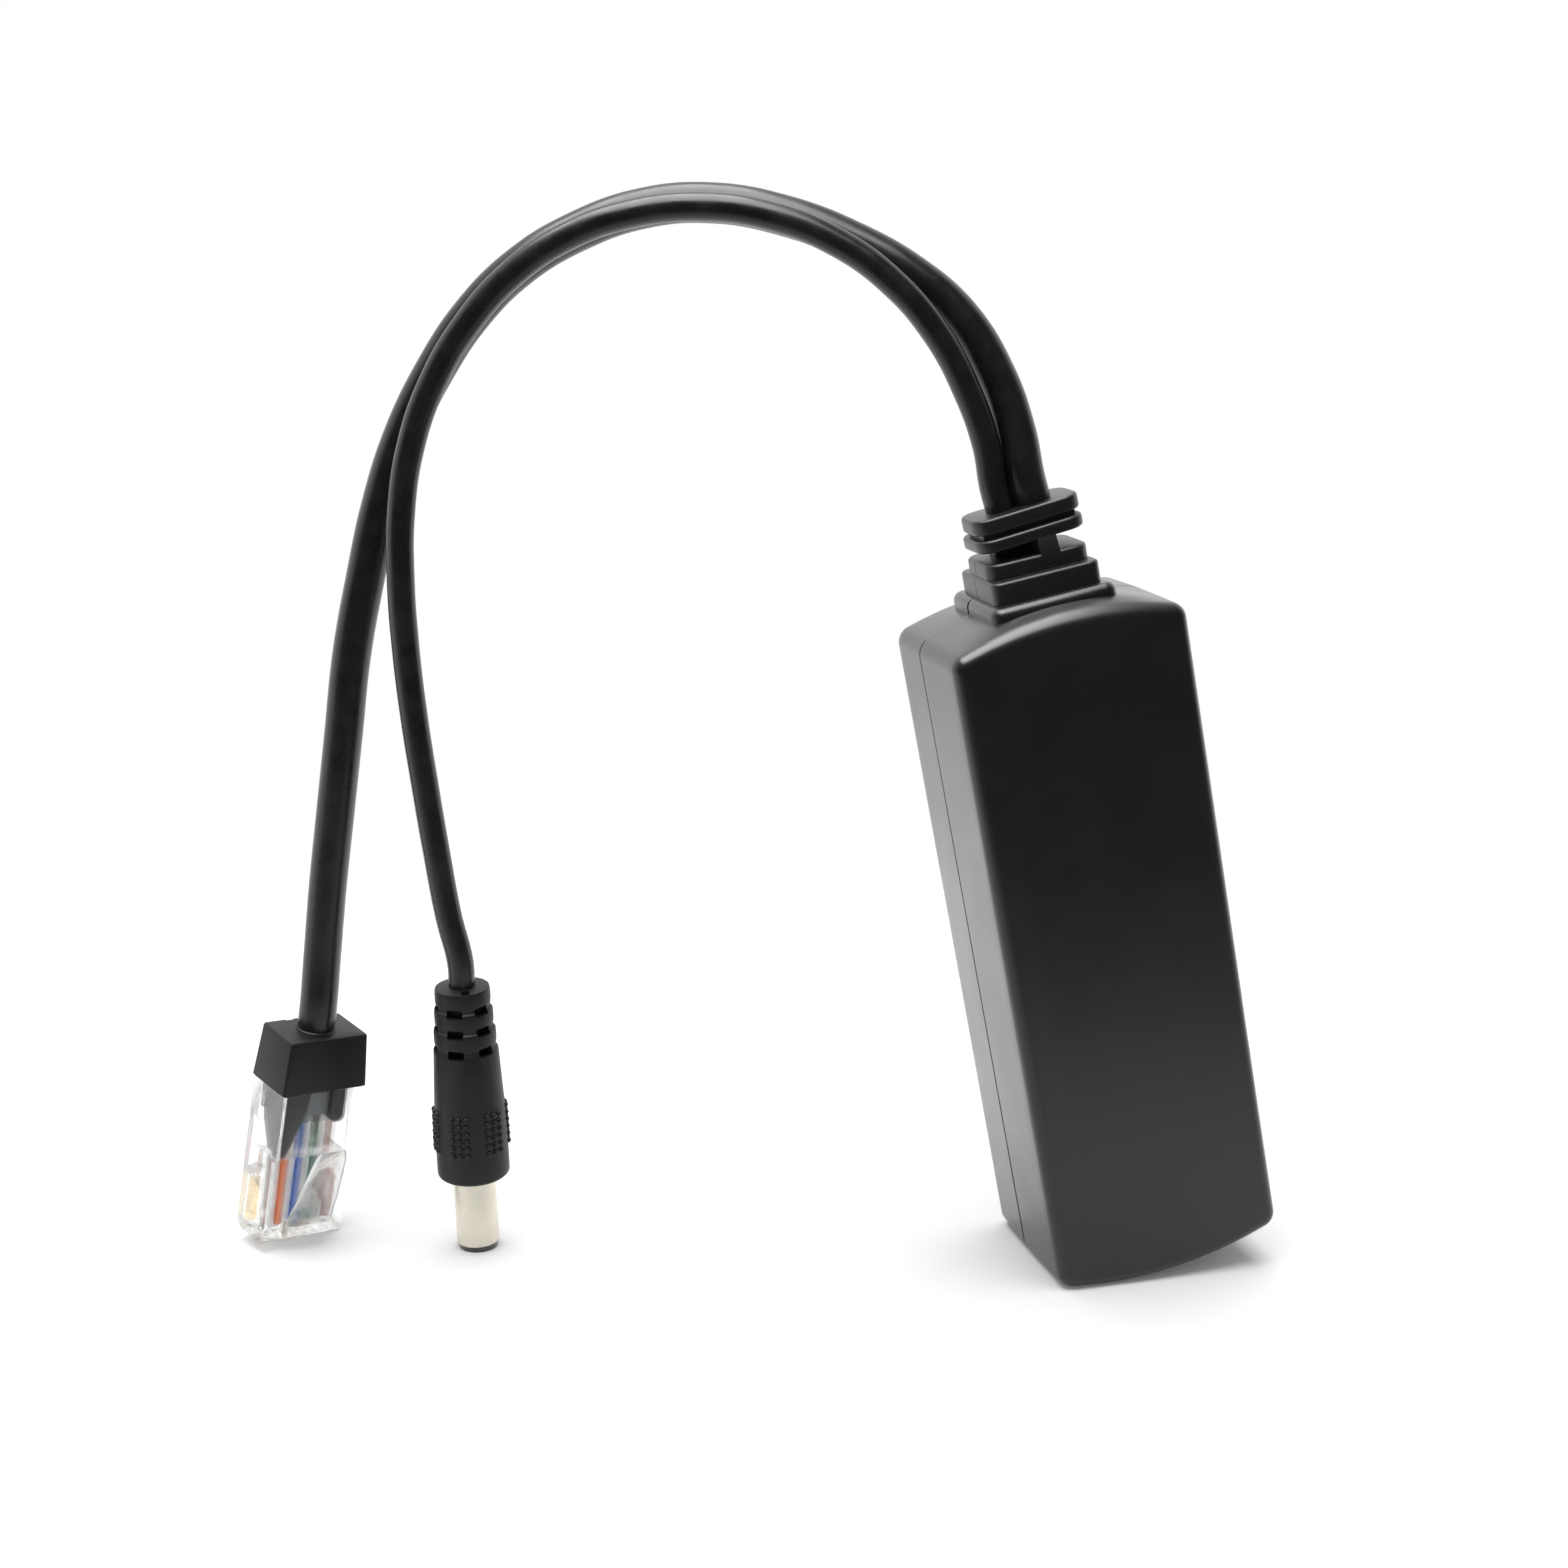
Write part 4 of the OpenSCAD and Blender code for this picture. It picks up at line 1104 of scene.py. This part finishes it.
    def exit(self, across: float) -> Vector:
        """Where a cord leaves the top ring.

        Args:
            across: Sideways distance from the middle, in millimetres.

        Returns:
            The point in metres.
        """
        middle = self.housing.place.point((0, 0, self.levels["end"] - self.exit_h / 2))
        side = Vector((self.axis.z, 0, -self.axis.x))
        return middle + (self.axis * self.exit_h / 2 + side * across) * MM

    @property
    def axis(self) -> Vector:
        """Direction in which the cords leave."""
        tilt = math.radians(self.housing.lean + self.bend)
        return Vector((-math.sin(tilt), 0, math.cos(tilt)))


class Plug:
    """What both plugs share: how a cord enters them."""

    def end(self) -> Vector:
        """Where the cord enters, in metres."""
        return self.place.point((0, 0, self.top))

    @property
    def axis(self) -> Vector:
        """Direction from the tip to the cord."""
        return (self.place.matrix().to_3x3() @ Vector(UP)).normalized()


@dataclass
class NetworkPlug(Plug):
    """Clear network plug with its latch, contacts, conductors and black boot."""

    width: float = 11.68
    length: float = 21.4
    depth: float = 7.8
    nose_d: float = 6.8
    nose_l: float = 12.5
    boot_h: float = 7.1
    boot_more: float = 0.45
    boot_w: float = 12.2
    boot_d: float = 8.2
    taper: float = 1.1
    collar_h: float = 0.25
    cord_d: float = 4.8
    latch_root: float = 6.2
    latch_tip: float = 3.9
    latch_lift: float = 4.2
    latch_t: float = 0.9
    latch_gap: float = 1.1
    pitch: float = 1.016
    wire_y: float = 0.2
    cavity_low: float = 12.0
    jacket_w: float = 5.6
    jacket_d: float = 4.0
    jacket_low: float = 16.2
    cavity: tuple[float, float] = (9.6, 5.4)
    turn: tuple[float, float, float] = (8.0, 6.0, 25.7)
    at_xy: tuple[float, float] = (-98.6, 32.2)
    nose_edge: float = 0.5
    heel_edge: float = 0.9
    nose_step: float = 0.6
    latch_low: float = 1.2
    latch_past: float = 2.0
    latch_steps: int = 10
    latch_in: float = 0.25
    latch_curl: float = 2.6
    latch_power: float = 0.7
    latch_rise_from: float = 0.25
    latch_narrow_from: float = 0.2
    latch_tip_share: float = 0.75
    latch_foot: tuple[tuple[float, float], ...] = (
        (0.4, 0.55), (0.4, 3.2), (-0.2, 2.9), (-1.3, 2.2), (-1.3, 1.3), (-0.5, 0.8))
    window_w: float = 8.4
    window_deep: float = 2.0
    window_z: tuple[float, ...] = (8.6, 8.2, 15.6, 14.8)
    edge_r: float = 0.18
    channel_low: float = 1.6
    channel_h: float = 1.05
    channel_slack: float = 0.2
    slot_w: float = 0.45
    slot_z: tuple[float, float] = (0.95, 7.05)
    fit: float = 0.1
    cord_fit: float = 0.02
    boot_corner: float = 0.35
    boot_foot: float = 0.15
    boot_rim: float = 0.25
    boot_chamfer: float = 0.08
    ring_sink: float = 0.2
    ring_rim: float = 0.3
    notch_x: tuple[float, float] = (-2.4, -1.2)
    notch_deep: float = 0.5
    wire_hole_r: float = 0.5
    wire_hole_l: float = 5.1
    jacket_r: float = 1.6
    jacket_rim: float = 0.05
    jacket_foot: float = 0.5

    @property
    def front_y(self) -> float:
        """Latch side of the nose."""
        return self.depth / 2 - self.nose_d

    @property
    def place(self) -> Place:
        """Frame of the plug, with the lowest corner of its nose on the floor."""
        a, b = (math.radians(t) for t in self.turn[:2])
        z = self.width / 2 * math.sin(b) - (self.front_y + self.nose_edge) * math.sin(a) * math.cos(b)
        return Place((*self.at_xy, z), self.turn)

    def side_outline(self) -> Outline:
        """Side view of the body as (y, z), from the latch side to the contact side."""
        y0, y1 = self.front_y, self.depth / 2
        return [
            (y0 + self.nose_edge, 0), (y1 - self.heel_edge, 0), (y1, self.heel_edge),
            (y1, self.length), (-y1, self.length), (-y1, self.nose_l),
            (y0, self.nose_l - self.nose_step), (y0, self.nose_edge),
        ]

    @property
    def top(self) -> float:
        """Height at which the cord enters the boot."""
        return self.length + self.boot_h

    @property
    def wire_x(self) -> list[float]:
        """Sideways places of the conductors."""
        return [(i - (CONTACTS - 1) / 2) * self.pitch for i in range(CONTACTS)]

    def latch(self) -> Solid:
        """Latch: a wide root that curves out of the nose and an arm that narrows to its end.

        Returns:
            The latch.
        """
        root, rings = self.front_y, []
        for k in range(self.latch_steps + 1):
            share = k / self.latch_steps
            z = self.latch_low + (self.nose_l + self.latch_past - self.latch_low) * share
            curl = self.latch_gap * min(1.0, share * self.latch_curl) ** self.latch_power
            rise = (self.latch_lift - self.latch_gap) * ramp(share, self.latch_rise_from)
            y = root - self.latch_in - curl - rise
            narrow = (self.latch_tip - self.latch_root) * ramp(share, self.latch_narrow_from)
            half, t = (self.latch_root + narrow) / 2, self.latch_t
            if k == self.latch_steps:
                half, t = half - self.latch_in, t * self.latch_tip_share
            over = z + self.latch_in
            rings.append([Vector(p) for p in (
                (-half, y, z), (half, y, z), (half, y - t, over), (-half, y - t, over))])
        outline = [(root + out, z) for out, z in self.latch_foot]
        foot = Solid().prism(outline, -self.latch_root / 2, self.latch_root / 2, "x")
        return Solid().stack(rings).join(foot)

    def build_body(self) -> None:
        """Clear body with the conductors' channel, the contacts' slots, the cavity and the crimp window."""
        back = self.depth / 2
        floor, end = back - self.window_deep, back + SPARE
        window = list(zip((floor, end, end, floor), self.window_z))
        body = Solid().prism(self.side_outline(), -self.width / 2, self.width / 2, "x").join(self.latch())
        body.cut(Solid().prism(window, -self.window_w / 2, self.window_w / 2, "x"))
        body.soften(self.edge_r, 40.0, 2)
        x, y = (CONTACTS * self.pitch + self.channel_slack) / 2, self.channel_h / 2
        room_x, room_y = (size / 2 for size in self.cavity)
        slot, (low, high), middle, room_z = self.slot_w / 2, self.slot_z, self.wire_y, self.cavity_low
        body.cut(
            Solid().block((-x, middle - y, self.channel_low), (x, middle + y, room_z + TOUCH)),
            Solid().block((-room_x, -room_y, room_z), (room_x, room_y, self.length + SPARE)),
            *(Solid().block((x - slot, middle, low), (x + slot, end, high)) for x in self.wire_x),
        )
        body.piece("plug_body_skin", self.place, CLEAR, "clear_plastic", "plug_body", smooth=30.0)

    def tongues(self) -> Solid:
        """Tongues of the boot inside the body: two that taper downwards, a finger and a back wall.

        Returns:
            The tongues.
        """
        x, y = (size / 2 - self.fit / 2 for size in self.cavity)
        low, end = self.cavity_low + 0.6, self.length + 0.1
        wide = [(-x, end), (-1.2, end), (-1.6, 18.5), (-2.6, 15.5), (-4.0, low), (-x, low - 0.4)]
        side = [(-y + 0.05, end), (y, end), (1.2, 16.0), (-0.4, low + 0.2), (-y + 0.05, low)]
        finger = [
            (2.0, end), (2.0, 16.9), (2.4, 16.4), (3.0, 16.3), (3.6, 16.4), (4.0, 16.9), (4.0, end)]
        return Solid().prism(wide, -y, 1.1 - y, "y").join(
            Solid().prism(side, -x, 0.8 - x, "x"),
            Solid().prism(finger, -y, 1.15 - y, "y"),
            Solid().block((0.1 - x, y - 0.6, 17.4), (x, y, end)),
        )

    def build_boot(self) -> None:
        """Black boot: a tapered block with crisp edges, a ring round the cord, and its tongues."""
        top_w, top_d = self.boot_w - self.taper, self.boot_d - self.taper / 2
        mouth = self.top
        top = mouth - self.collar_h + self.boot_more
        sections = (
            (self.boot_w, self.boot_d, self.length, self.boot_foot),
            (self.boot_w, self.boot_d, self.length + self.boot_foot, 0.0),
            (top_w, top_d, top - self.boot_rim, 0.0),
            (top_w, top_d, top - self.boot_chamfer, self.boot_chamfer),
            (top_w, top_d, top, self.boot_rim),
        )
        block = Solid().stack([
            [Vector((x, y, z)) for x, y in rounded(w - 2 * i, d - 2 * i, self.boot_corner, 4)]
            for w, d, z, i in sections
        ])
        ring_r, seat = self.cord_d / 2 + self.collar_h, self.cord_d / 2 + self.cord_fit
        ring = rounded_block(
            2 * ring_r, 2 * ring_r, ring_r - TOUCH, top - self.ring_sink, top + self.collar_h, self.ring_rim)
        (left, right), deep = self.notch_x, self.notch_deep
        block.join(ring, self.tongues()).cut(
            Solid().block((left, top_d / 2 - deep, top - deep), (right, top_d / 2 + SPARE, top + SPARE)),
            Solid().revolve([(seat, mouth - TOUCH), (seat, top + 3 * SPARE)], 48),
            self.wire_holes(),
        )
        block.piece("plug_boot_skin", self.place, BOOT, "relief_plastic", "plug_boot", smooth=30.0)

    def wire_holes(self) -> Solid:
        """Room for the ends of the conductors."""
        r, low = self.wire_hole_r, self.cavity_low
        sides = [(r, low), (r, low + self.wire_hole_l)]
        places = [Matrix.Translation((x, self.wire_y, 0)) for x in self.wire_x]
        return Solid().gather(*(Solid().revolve(sides, 12).moved(place) for place in places))

    def build_jacket_end(self) -> None:
        """End of the cord's jacket, given a pale grey tint that paints in the light it catches through the
        clear body between the tongues.
        """
        low = self.jacket_low
        end = rounded_block(self.jacket_w, self.jacket_d, self.jacket_r, low,
                            self.length - self.cord_fit, self.jacket_rim, self.jacket_foot)
        slit = [(-1.1, low - 1), (-0.9, low + 0.3), (0, low + 1.2), (0.9, low + 0.3), (1.1, low - 1)]
        end.cut(Solid().prism(slit, -3, -1.2, "y"), self.wire_holes())
        end.piece("network_jacket_end", self.place, JACKET_END_PAINTED_LIGHT, "cord_jacket")

    def build(self) -> None:
        """Builds the plug; the contacts and conductors stay as packed."""
        self.build_body()
        self.build_boot()
        self.build_jacket_end()


@dataclass
class PowerPlug(Plug):
    """Round power plug: moulded handle with flexible rings and grip bumps, and a nickel barrel."""

    tip_d: float = 5.1
    barrel_l: float = 10.2
    handle_l: float = 26.0
    front_d: float = 9.3
    middle_d: float = 9.0
    back_d: float = 8.2
    end_d: float = 6.9
    front_rim: float = 0.6
    grip_z: float = 3.0
    middle_z: float = 7.0
    ring_h: float = 2.7
    rings: int = 3
    groove: float = 0.2
    pocket_deep: float = 1.0
    pocket_w: float = 2.1
    pocket_h: float = 1.15
    pockets_round: int = 6
    pocket_turn: float = -87.0
    bump_r: float = 0.4
    bump_pitch: float = 1.0
    bump_rows: int = 6
    bump_columns: int = 3
    bump_start: float = 4.3
    step_deep: float = 0.12
    swell: float = 0.08
    slit_deep: float = 0.05
    cord_rim: float = 0.75
    nick_back: float = 0.4
    shank_r: float = 2.6
    shank_l: float = 3.8
    nick_w: float = 1.0
    nick_h: float = 0.5
    cord_d: float = 3.4
    turn: tuple[float, float, float] = (2.8, -2.0, 0.0)
    at_xy: tuple[float, float] = (-75.1, 22.6)

    @property
    def place(self) -> Place:
        """Frame of the plug, with the rim of its tip on the floor."""
        a, b = (math.radians(t) for t in self.turn[:2])
        z = self.tip_d / 2 * math.sin(math.acos(math.cos(a) * math.cos(b)))
        return Place((*self.at_xy, z), self.turn)

    @property
    def top(self) -> float:
        """Upper end of the handle."""
        return self.barrel_l + self.handle_l

    @property
    def flex(self) -> float:
        """Height at which the flexible rings start."""
        return self.top - self.rings * self.ring_h

    def radius(self, z: float) -> float:
        """Outer radius of the plain handle.

        Args:
            z: Height above the tip.

        Returns:
            The radius.
        """
        grip = self.barrel_l + self.grip_z
        stations = ((grip, self.front_d), (grip + self.middle_z, self.middle_d), (self.flex, self.back_d))
        for (low, first), (high, last) in zip(stations, stations[1:]):
            if z <= high:
                return (first + (last - first) * max(0.0, (z - low) / (high - low))) / 2
        return self.back_d / 2

    def profile(self) -> Outline:
        """Side view of the handle, with bulging rings at its upper end.

        Returns:
            Points as (radius, height).
        """
        foot, flex, rim = self.barrel_l, self.flex, self.front_rim
        out = [(TOUCH, foot), *arc(self.front_d / 2 - rim, foot + rim, rim, -90, 0, 6)]
        out += [(self.radius(z), z) for z in (foot + rise for rise in (1.5, self.grip_z, 6, 10, 14))]
        out.append((self.radius(flex - 0.4), flex - 0.4))
        deep = self.step_deep
        out += [(self.radius(flex) - deep, flex - deep), (self.radius(flex) - self.groove, flex)]
        for k in range(self.rings):
            low = flex + k * self.ring_h
            r = self.back_d / 2 + (self.end_d - self.back_d) / 2 * (k + 1) / self.rings
            out += [(r + self.swell - self.groove * abs(2 * share - 1) ** 4, low + share * self.ring_h)
                    for share in (0.06, 0.16, 0.3, 0.5, 0.7, 0.84, 0.94)]
            if k < self.rings - 1:
                out.append((r - self.groove - self.slit_deep, low + self.ring_h))
        return out + [(self.end_d / 2 - self.cord_rim, self.top - 2 * TOUCH), (TOUCH, self.top)]

    @property
    def turns(self) -> list[float]:
        """Directions of the rows of pockets and bumps round the handle, in radians."""
        return [math.radians(360 * (j + 0.5) / self.pockets_round + self.pocket_turn)
                for j in range(self.pockets_round)]

    def bumps(self) -> Solid:
        """Groups of round grip bumps, in line with the pockets.

        Returns:
            The bumps.
        """
        made = Solid()
        middle = (self.bump_columns - 1) / 2
        for turn, c, i in product(self.turns, range(self.bump_columns), range(self.bump_rows)):
            z = self.barrel_l + self.bump_start + i * self.bump_pitch
            out = self.radius(z)
            angle = turn + (c - middle) * self.bump_pitch / out
            spot = Matrix.Translation((out * math.cos(angle), out * math.sin(angle), z))
            bmesh.ops.create_icosphere(made.bm, subdivisions=2, radius=self.bump_r, matrix=spot)
        return made

    def pockets(self) -> Solid:
        """Tools for the pockets between the rings.

        Returns:
            The tools.
        """
        r, size = self.end_d / 2, (self.pocket_h, self.pocket_w)
        level = Matrix.Rotation(math.radians(90), 4, "Y")
        lifts = [Matrix.Translation((0, 0, self.top - k * self.ring_h)) for k in range(1, self.rings + 1)]
        return Solid().gather(*(
            rounded_block(*size, 0.25, r - self.pocket_deep, r + 3 * SPARE, TOUCH, 0.2, 3)
            .moved(Matrix.Rotation(turn, 4, "Z") @ lift @ level)
            for lift, turn in product(lifts, self.turns)))

    def build_handle(self) -> None:
        """Handle with its pockets and grip bumps, a nick beside the cord and room for the shank."""
        x, front, back = self.nick_w / 2, -self.end_d / 2 - SPARE, -self.cord_d / 2 - self.nick_back
        nick = Solid().block((-x, front, self.top - self.nick_h), (x, back, self.top + SPARE))
        low, high = self.barrel_l - SPARE, self.barrel_l + self.shank_l
        shank = Solid().revolve([(self.shank_r, low), (self.shank_r, high)], 48)
        handle = Solid().revolve(self.profile(), 96).join(self.bumps()).cut(self.pockets(), nick, shank)
        name = "power_plug_handle"
        handle.piece(f"{name}_skin", self.place, HANDLE, "handle_plastic", name, smooth=36.0)

    def build(self) -> None:
        """Builds the handle; the metal parts stay as packed."""
        self.build_handle()


class Stiffness(Enum):
    MEDIUM = "medium"


@dataclass
class Cord:
    """A free cord on one smooth curve, from the relief to the plug on its far end."""

    name: str
    diameter: float
    route: tuple[tuple[float, float, float], ...]
    length: float
    stiffness: Stiffness
    straight: float = 3.0
    pieces: tuple[str, ...] = field(default=())

    def build(self, start: Vector, out: Vector, end: Vector, back: Vector) -> bpy.types.Object:
        """Lays the cord.

        Args:
            start: Exit in the relief, in metres.
            out: Direction out of the relief.
            end: Entry into the plug, in metres.
            back: Direction from the plug towards the cord.

        Returns:
            The curve object.
        """
        points = [start, start + out * self.straight * MM]
        points += [Vector(p) * MM for p in self.route]
        points += [end + back * self.straight * MM, end]
        curve = bpy.data.curves.new(f"{self.name}_jacket", "CURVE")
        curve.dimensions = "3D"
        curve.bevel_depth = self.diameter / 2 * MM
        curve.bevel_resolution = 8
        curve.resolution_u = 10
        curve.use_fill_caps = True
        line = curve.splines.new("BEZIER")
        line.bezier_points.add(len(points) - 1)
        for knot, point in zip(line.bezier_points, points):
            knot.co = point
            knot.handle_left_type = knot.handle_right_type = "AUTO"
        thing = linked(f"{self.name}_jacket", curve)
        curve.materials.append(JACKET.material())
        settle(thing, "cord_jacket", self.name)
        self.exit = start
        return thing

    def declare(self) -> None:
        """Turns the exit point that build kept into a tuple and drops it; the cord's length, stiffness and
        pieces are not used.
        """
        tuple(self.exit)


NETWORK_ROUTE = (
    (-10.7, 0.9, 106), (-12.9, 2.4, 112.8), (-16.8, 4.5, 119.5), (-22, 6.5, 124.2),
    (-28.7, 9.5, 128.2), (-36, 12.5, 131.1), (-44, 15.5, 132.6), (-52, 18, 132),
    (-59.8, 20.5, 129.2), (-66.3, 22.5, 125.2), (-71.8, 24, 119.8), (-76.6, 25.5, 112.7),
    (-80.5, 26.5, 105), (-83.4, 27.5, 96.5), (-85.6, 28.2, 87.5), (-87.6, 28.8, 78),
    (-89, 29.2, 68), (-90.4, 29.6, 58), (-91.8, 29.9, 48), (-93, 30, 38),
)
POWER_ROUTE = (
    (-14.7, 0, 104.5), (-17.1, 0.4, 111), (-20.8, 1, 117.7), (-25.8, 2.4, 123.6),
    (-32, 4.6, 128.2), (-39.2, 7, 131.1), (-46.9, 9.5, 132.2), (-54.8, 12.2, 131.4),
    (-62.1, 15, 128.7), (-68.3, 17, 124.4), (-73.4, 18.6, 118.7), (-77.5, 19.8, 111.9),
    (-80.3, 20.6, 104.3), (-81.7, 21.1, 96.2), (-82, 21.4, 88), (-81.7, 21.5, 79.6),
    (-81, 21.5, 71), (-80, 21.4, 62.4), (-78.9, 21.2, 53.8), (-77.7, 21, 45.4),
)


# Studio


@dataclass
class Eye:
    """Camera that stands where the photograph was taken."""

    at: tuple[float, float, float] = (-114.94, -277.75, 134.32)
    azimuth: float = -15.16
    elevation: float = 13.56
    roll: float = 0.14
    lens: float = 56.75

    def build(self) -> None:
        """Sets up the scene's camera."""
        az, el = math.radians(self.azimuth), math.radians(self.elevation)
        forward = Vector((-math.sin(az) * math.cos(el), math.cos(az) * math.cos(el), -math.sin(el)))
        right = Vector((math.cos(az), math.sin(az), 0))
        up = right.cross(forward)
        spin = Matrix.Rotation(math.radians(self.roll), 3, forward)
        right, up = spin @ right, spin @ up
        data = bpy.data.cameras.new("eye")
        data.lens, data.sensor_width = self.lens, 36.0
        data.clip_start, data.clip_end = 0.01, 20.0
        camera = linked("eye", data)
        basis = Matrix((right, up, -forward)).transposed().to_4x4()
        camera.matrix_world = Matrix.Translation(Vector(self.at) * MM) @ basis
        bpy.context.scene.camera = camera


@dataclass
class Softbox:
    """A rectangular lamp, given by its radiance."""

    name: str
    at: tuple[float, float, float]
    aim: tuple[float, float, float]
    size: tuple[float, float]
    radiance: float
    diffuse: bool = True
    glossy: bool = True

    def build(self) -> None:
        """Hangs the lamp."""
        data = bpy.data.lights.new(self.name, "AREA")
        data.shape = "RECTANGLE"
        data.size, data.size_y = self.size
        data.energy = self.radiance * math.pi * self.size[0] * self.size[1]
        lamp = linked(self.name, data)
        lamp.location = self.at
        lamp.rotation_mode = "QUATERNION"
        lamp.rotation_quaternion = (Vector(self.aim) - Vector(self.at)).to_track_quat("-Z", "Y")
        lamp.visible_camera = False
        lamp.visible_transmission = False
        lamp.visible_diffuse = self.diffuse
        lamp.visible_glossy = self.glossy


@dataclass
class Studio:
    """White sweep, soft lamps and the world around them."""

    floor_half: float = 3.0
    floor_tint: float = 0.91
    floor_glow: float = 0.05
    floor_dark: float = 0.03
    middle: Spot = (-0.04, 0.02, 0.0)
    glow_start: float = 0.11
    glow_full: float = 0.24
    mirror_y: Spot = (-0.17, -0.03, 0.04)
    world_light: float = 0.5
    softboxes: tuple[Softbox, ...] = (
        Softbox("overhead", (-0.1, 0.0, 0.9), (-0.04, 0.0, 0.05), (0.9, 0.9), 3.7, glossy=False),
        Softbox("shine", (-0.21, -0.05, 0.8), (-0.21, -0.05, 0.1), (0.66, 0.9), 6.7, diffuse=False),
    )

    def floor(self) -> None:
        """Floor whose own tone is pale, and which shows white to the eye away from the object."""
        mesh = bpy.data.meshes.new("floor")
        h = self.floor_half
        mesh.from_pydata([(-h, -h, 0), (h, -h, 0), (h, h, 0), (-h, h, 0)], [], [(0, 1, 2, 3)])
        thing = linked("floor", mesh)
        made = bpy.data.materials.new("floor")
        graph = Graph(made)
        spot = graph.place()
        apart = graph.node("ShaderNodeVectorMath", {"operation": "DISTANCE"}, {0: spot, 1: self.middle}, 1)
        depth = graph.part(spot, 1)
        front, step, back = self.mirror_y
        near = depth.span(front, step, 0.0, 0.5) + depth.span(step, back, 0.0, 0.5)
        tint = graph.node("ShaderNodeBsdfDiffuse", {}, {"Color": colour([self.floor_tint] * 3)})
        lit = graph.node("ShaderNodeAddShader", {}, {0: tint, 1: graph.emission(self.floor_glow)})
        seen = graph.mix(apart.span(self.glow_start, self.glow_full), lit, graph.emission(1.0))
        mirrored = graph.mix(near, graph.emission(self.floor_dark), seen)
        direct = graph.mix(graph.ray("Camera").larger(graph.ray("Transmission")), tint, seen)
        graph.surface(graph.mix(graph.ray("Glossy"), direct, mirrored))
        mesh.materials.append(made)

    def world(self) -> None:
        """World that is white to the eye, dark in front in reflections, and plain soft light otherwise."""
        world = bpy.data.worlds.new("studio")
        bpy.context.scene.world = world
        graph = Graph(world)
        way = graph.node("ShaderNodeTexCoord", output="Generated")
        behind = graph.part(way, 1).span(-0.25, 0.35, 0.04, 1.0)
        mirrored = behind * graph.part(way, 2).span(0.6, 0.95, 1.0, 0.5)
        direct = graph.ray("Camera").larger(graph.ray("Transmission"))
        glossy = graph.ray("Glossy")
        soft = (1 - direct) * (1 - glossy) * self.world_light
        sockets = {"Color": colour((1, 1, 1)), "Strength": direct + (1 - direct) * glossy * mirrored + soft}
        graph.surface(graph.node("ShaderNodeBackground", {}, sockets), "ShaderNodeOutputWorld")

    def build(self) -> None:
        """Sets up floor, world and lamps."""
        self.floor()
        self.world()
        for softbox in self.softboxes:
            softbox.build()
        bpy.context.scene.view_settings.view_transform = "Standard"


def dress_packed_nodes() -> None:
    """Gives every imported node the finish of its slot."""
    for part in frame["record"]["subparts"]:
        node = frame["nodes"][part["node"]]
        made = FINISHES[part["material_slot"]].material()
        if not node.material_slots:
            node.data.materials.append(made)
        for entry in node.material_slots:
            entry.material = made


def main() -> None:
    """Builds the scene piece by piece."""
    logging.basicConfig(level=logging.INFO, format="%(message)s")
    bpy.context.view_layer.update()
    Eye().build()
    housing = Housing()
    relief = StrainRelief(housing)
    network_plug = NetworkPlug()
    power_plug = PowerPlug()
    contacts = tuple(f"{kind}_{i + 1}" for kind in ("plug_contact", "conductor") for i in range(CONTACTS))
    network = Cord(
        "network_cord", 4.8, NETWORK_ROUTE, 0.184, Stiffness.MEDIUM,
        pieces=("plug_body_skin", "plug_boot_skin", "network_jacket_end", *contacts),
    )
    power = Cord(
        "power_cord", 3.4, POWER_ROUTE, 0.170, Stiffness.MEDIUM,
        pieces=("power_plug_handle_skin", "power_plug_sleeve", "power_plug_insulator", "power_plug_centre"),
    )
    span = network.diameter + power.diameter
    network_line = network.build(
        relief.exit(span / 2 - network.diameter / 2), relief.axis, network_plug.end(), network_plug.axis)
    power_line = power.build(
        relief.exit(-span / 2 + power.diameter / 2), relief.axis, power_plug.end(), power_plug.axis)
    dress_packed_nodes()
    housing.build()
    relief.build()
    network_plug.build()
    power_plug.build()
    network.declare()
    power.declare()
    Studio().build()


if __name__ == "__main__":
    main()
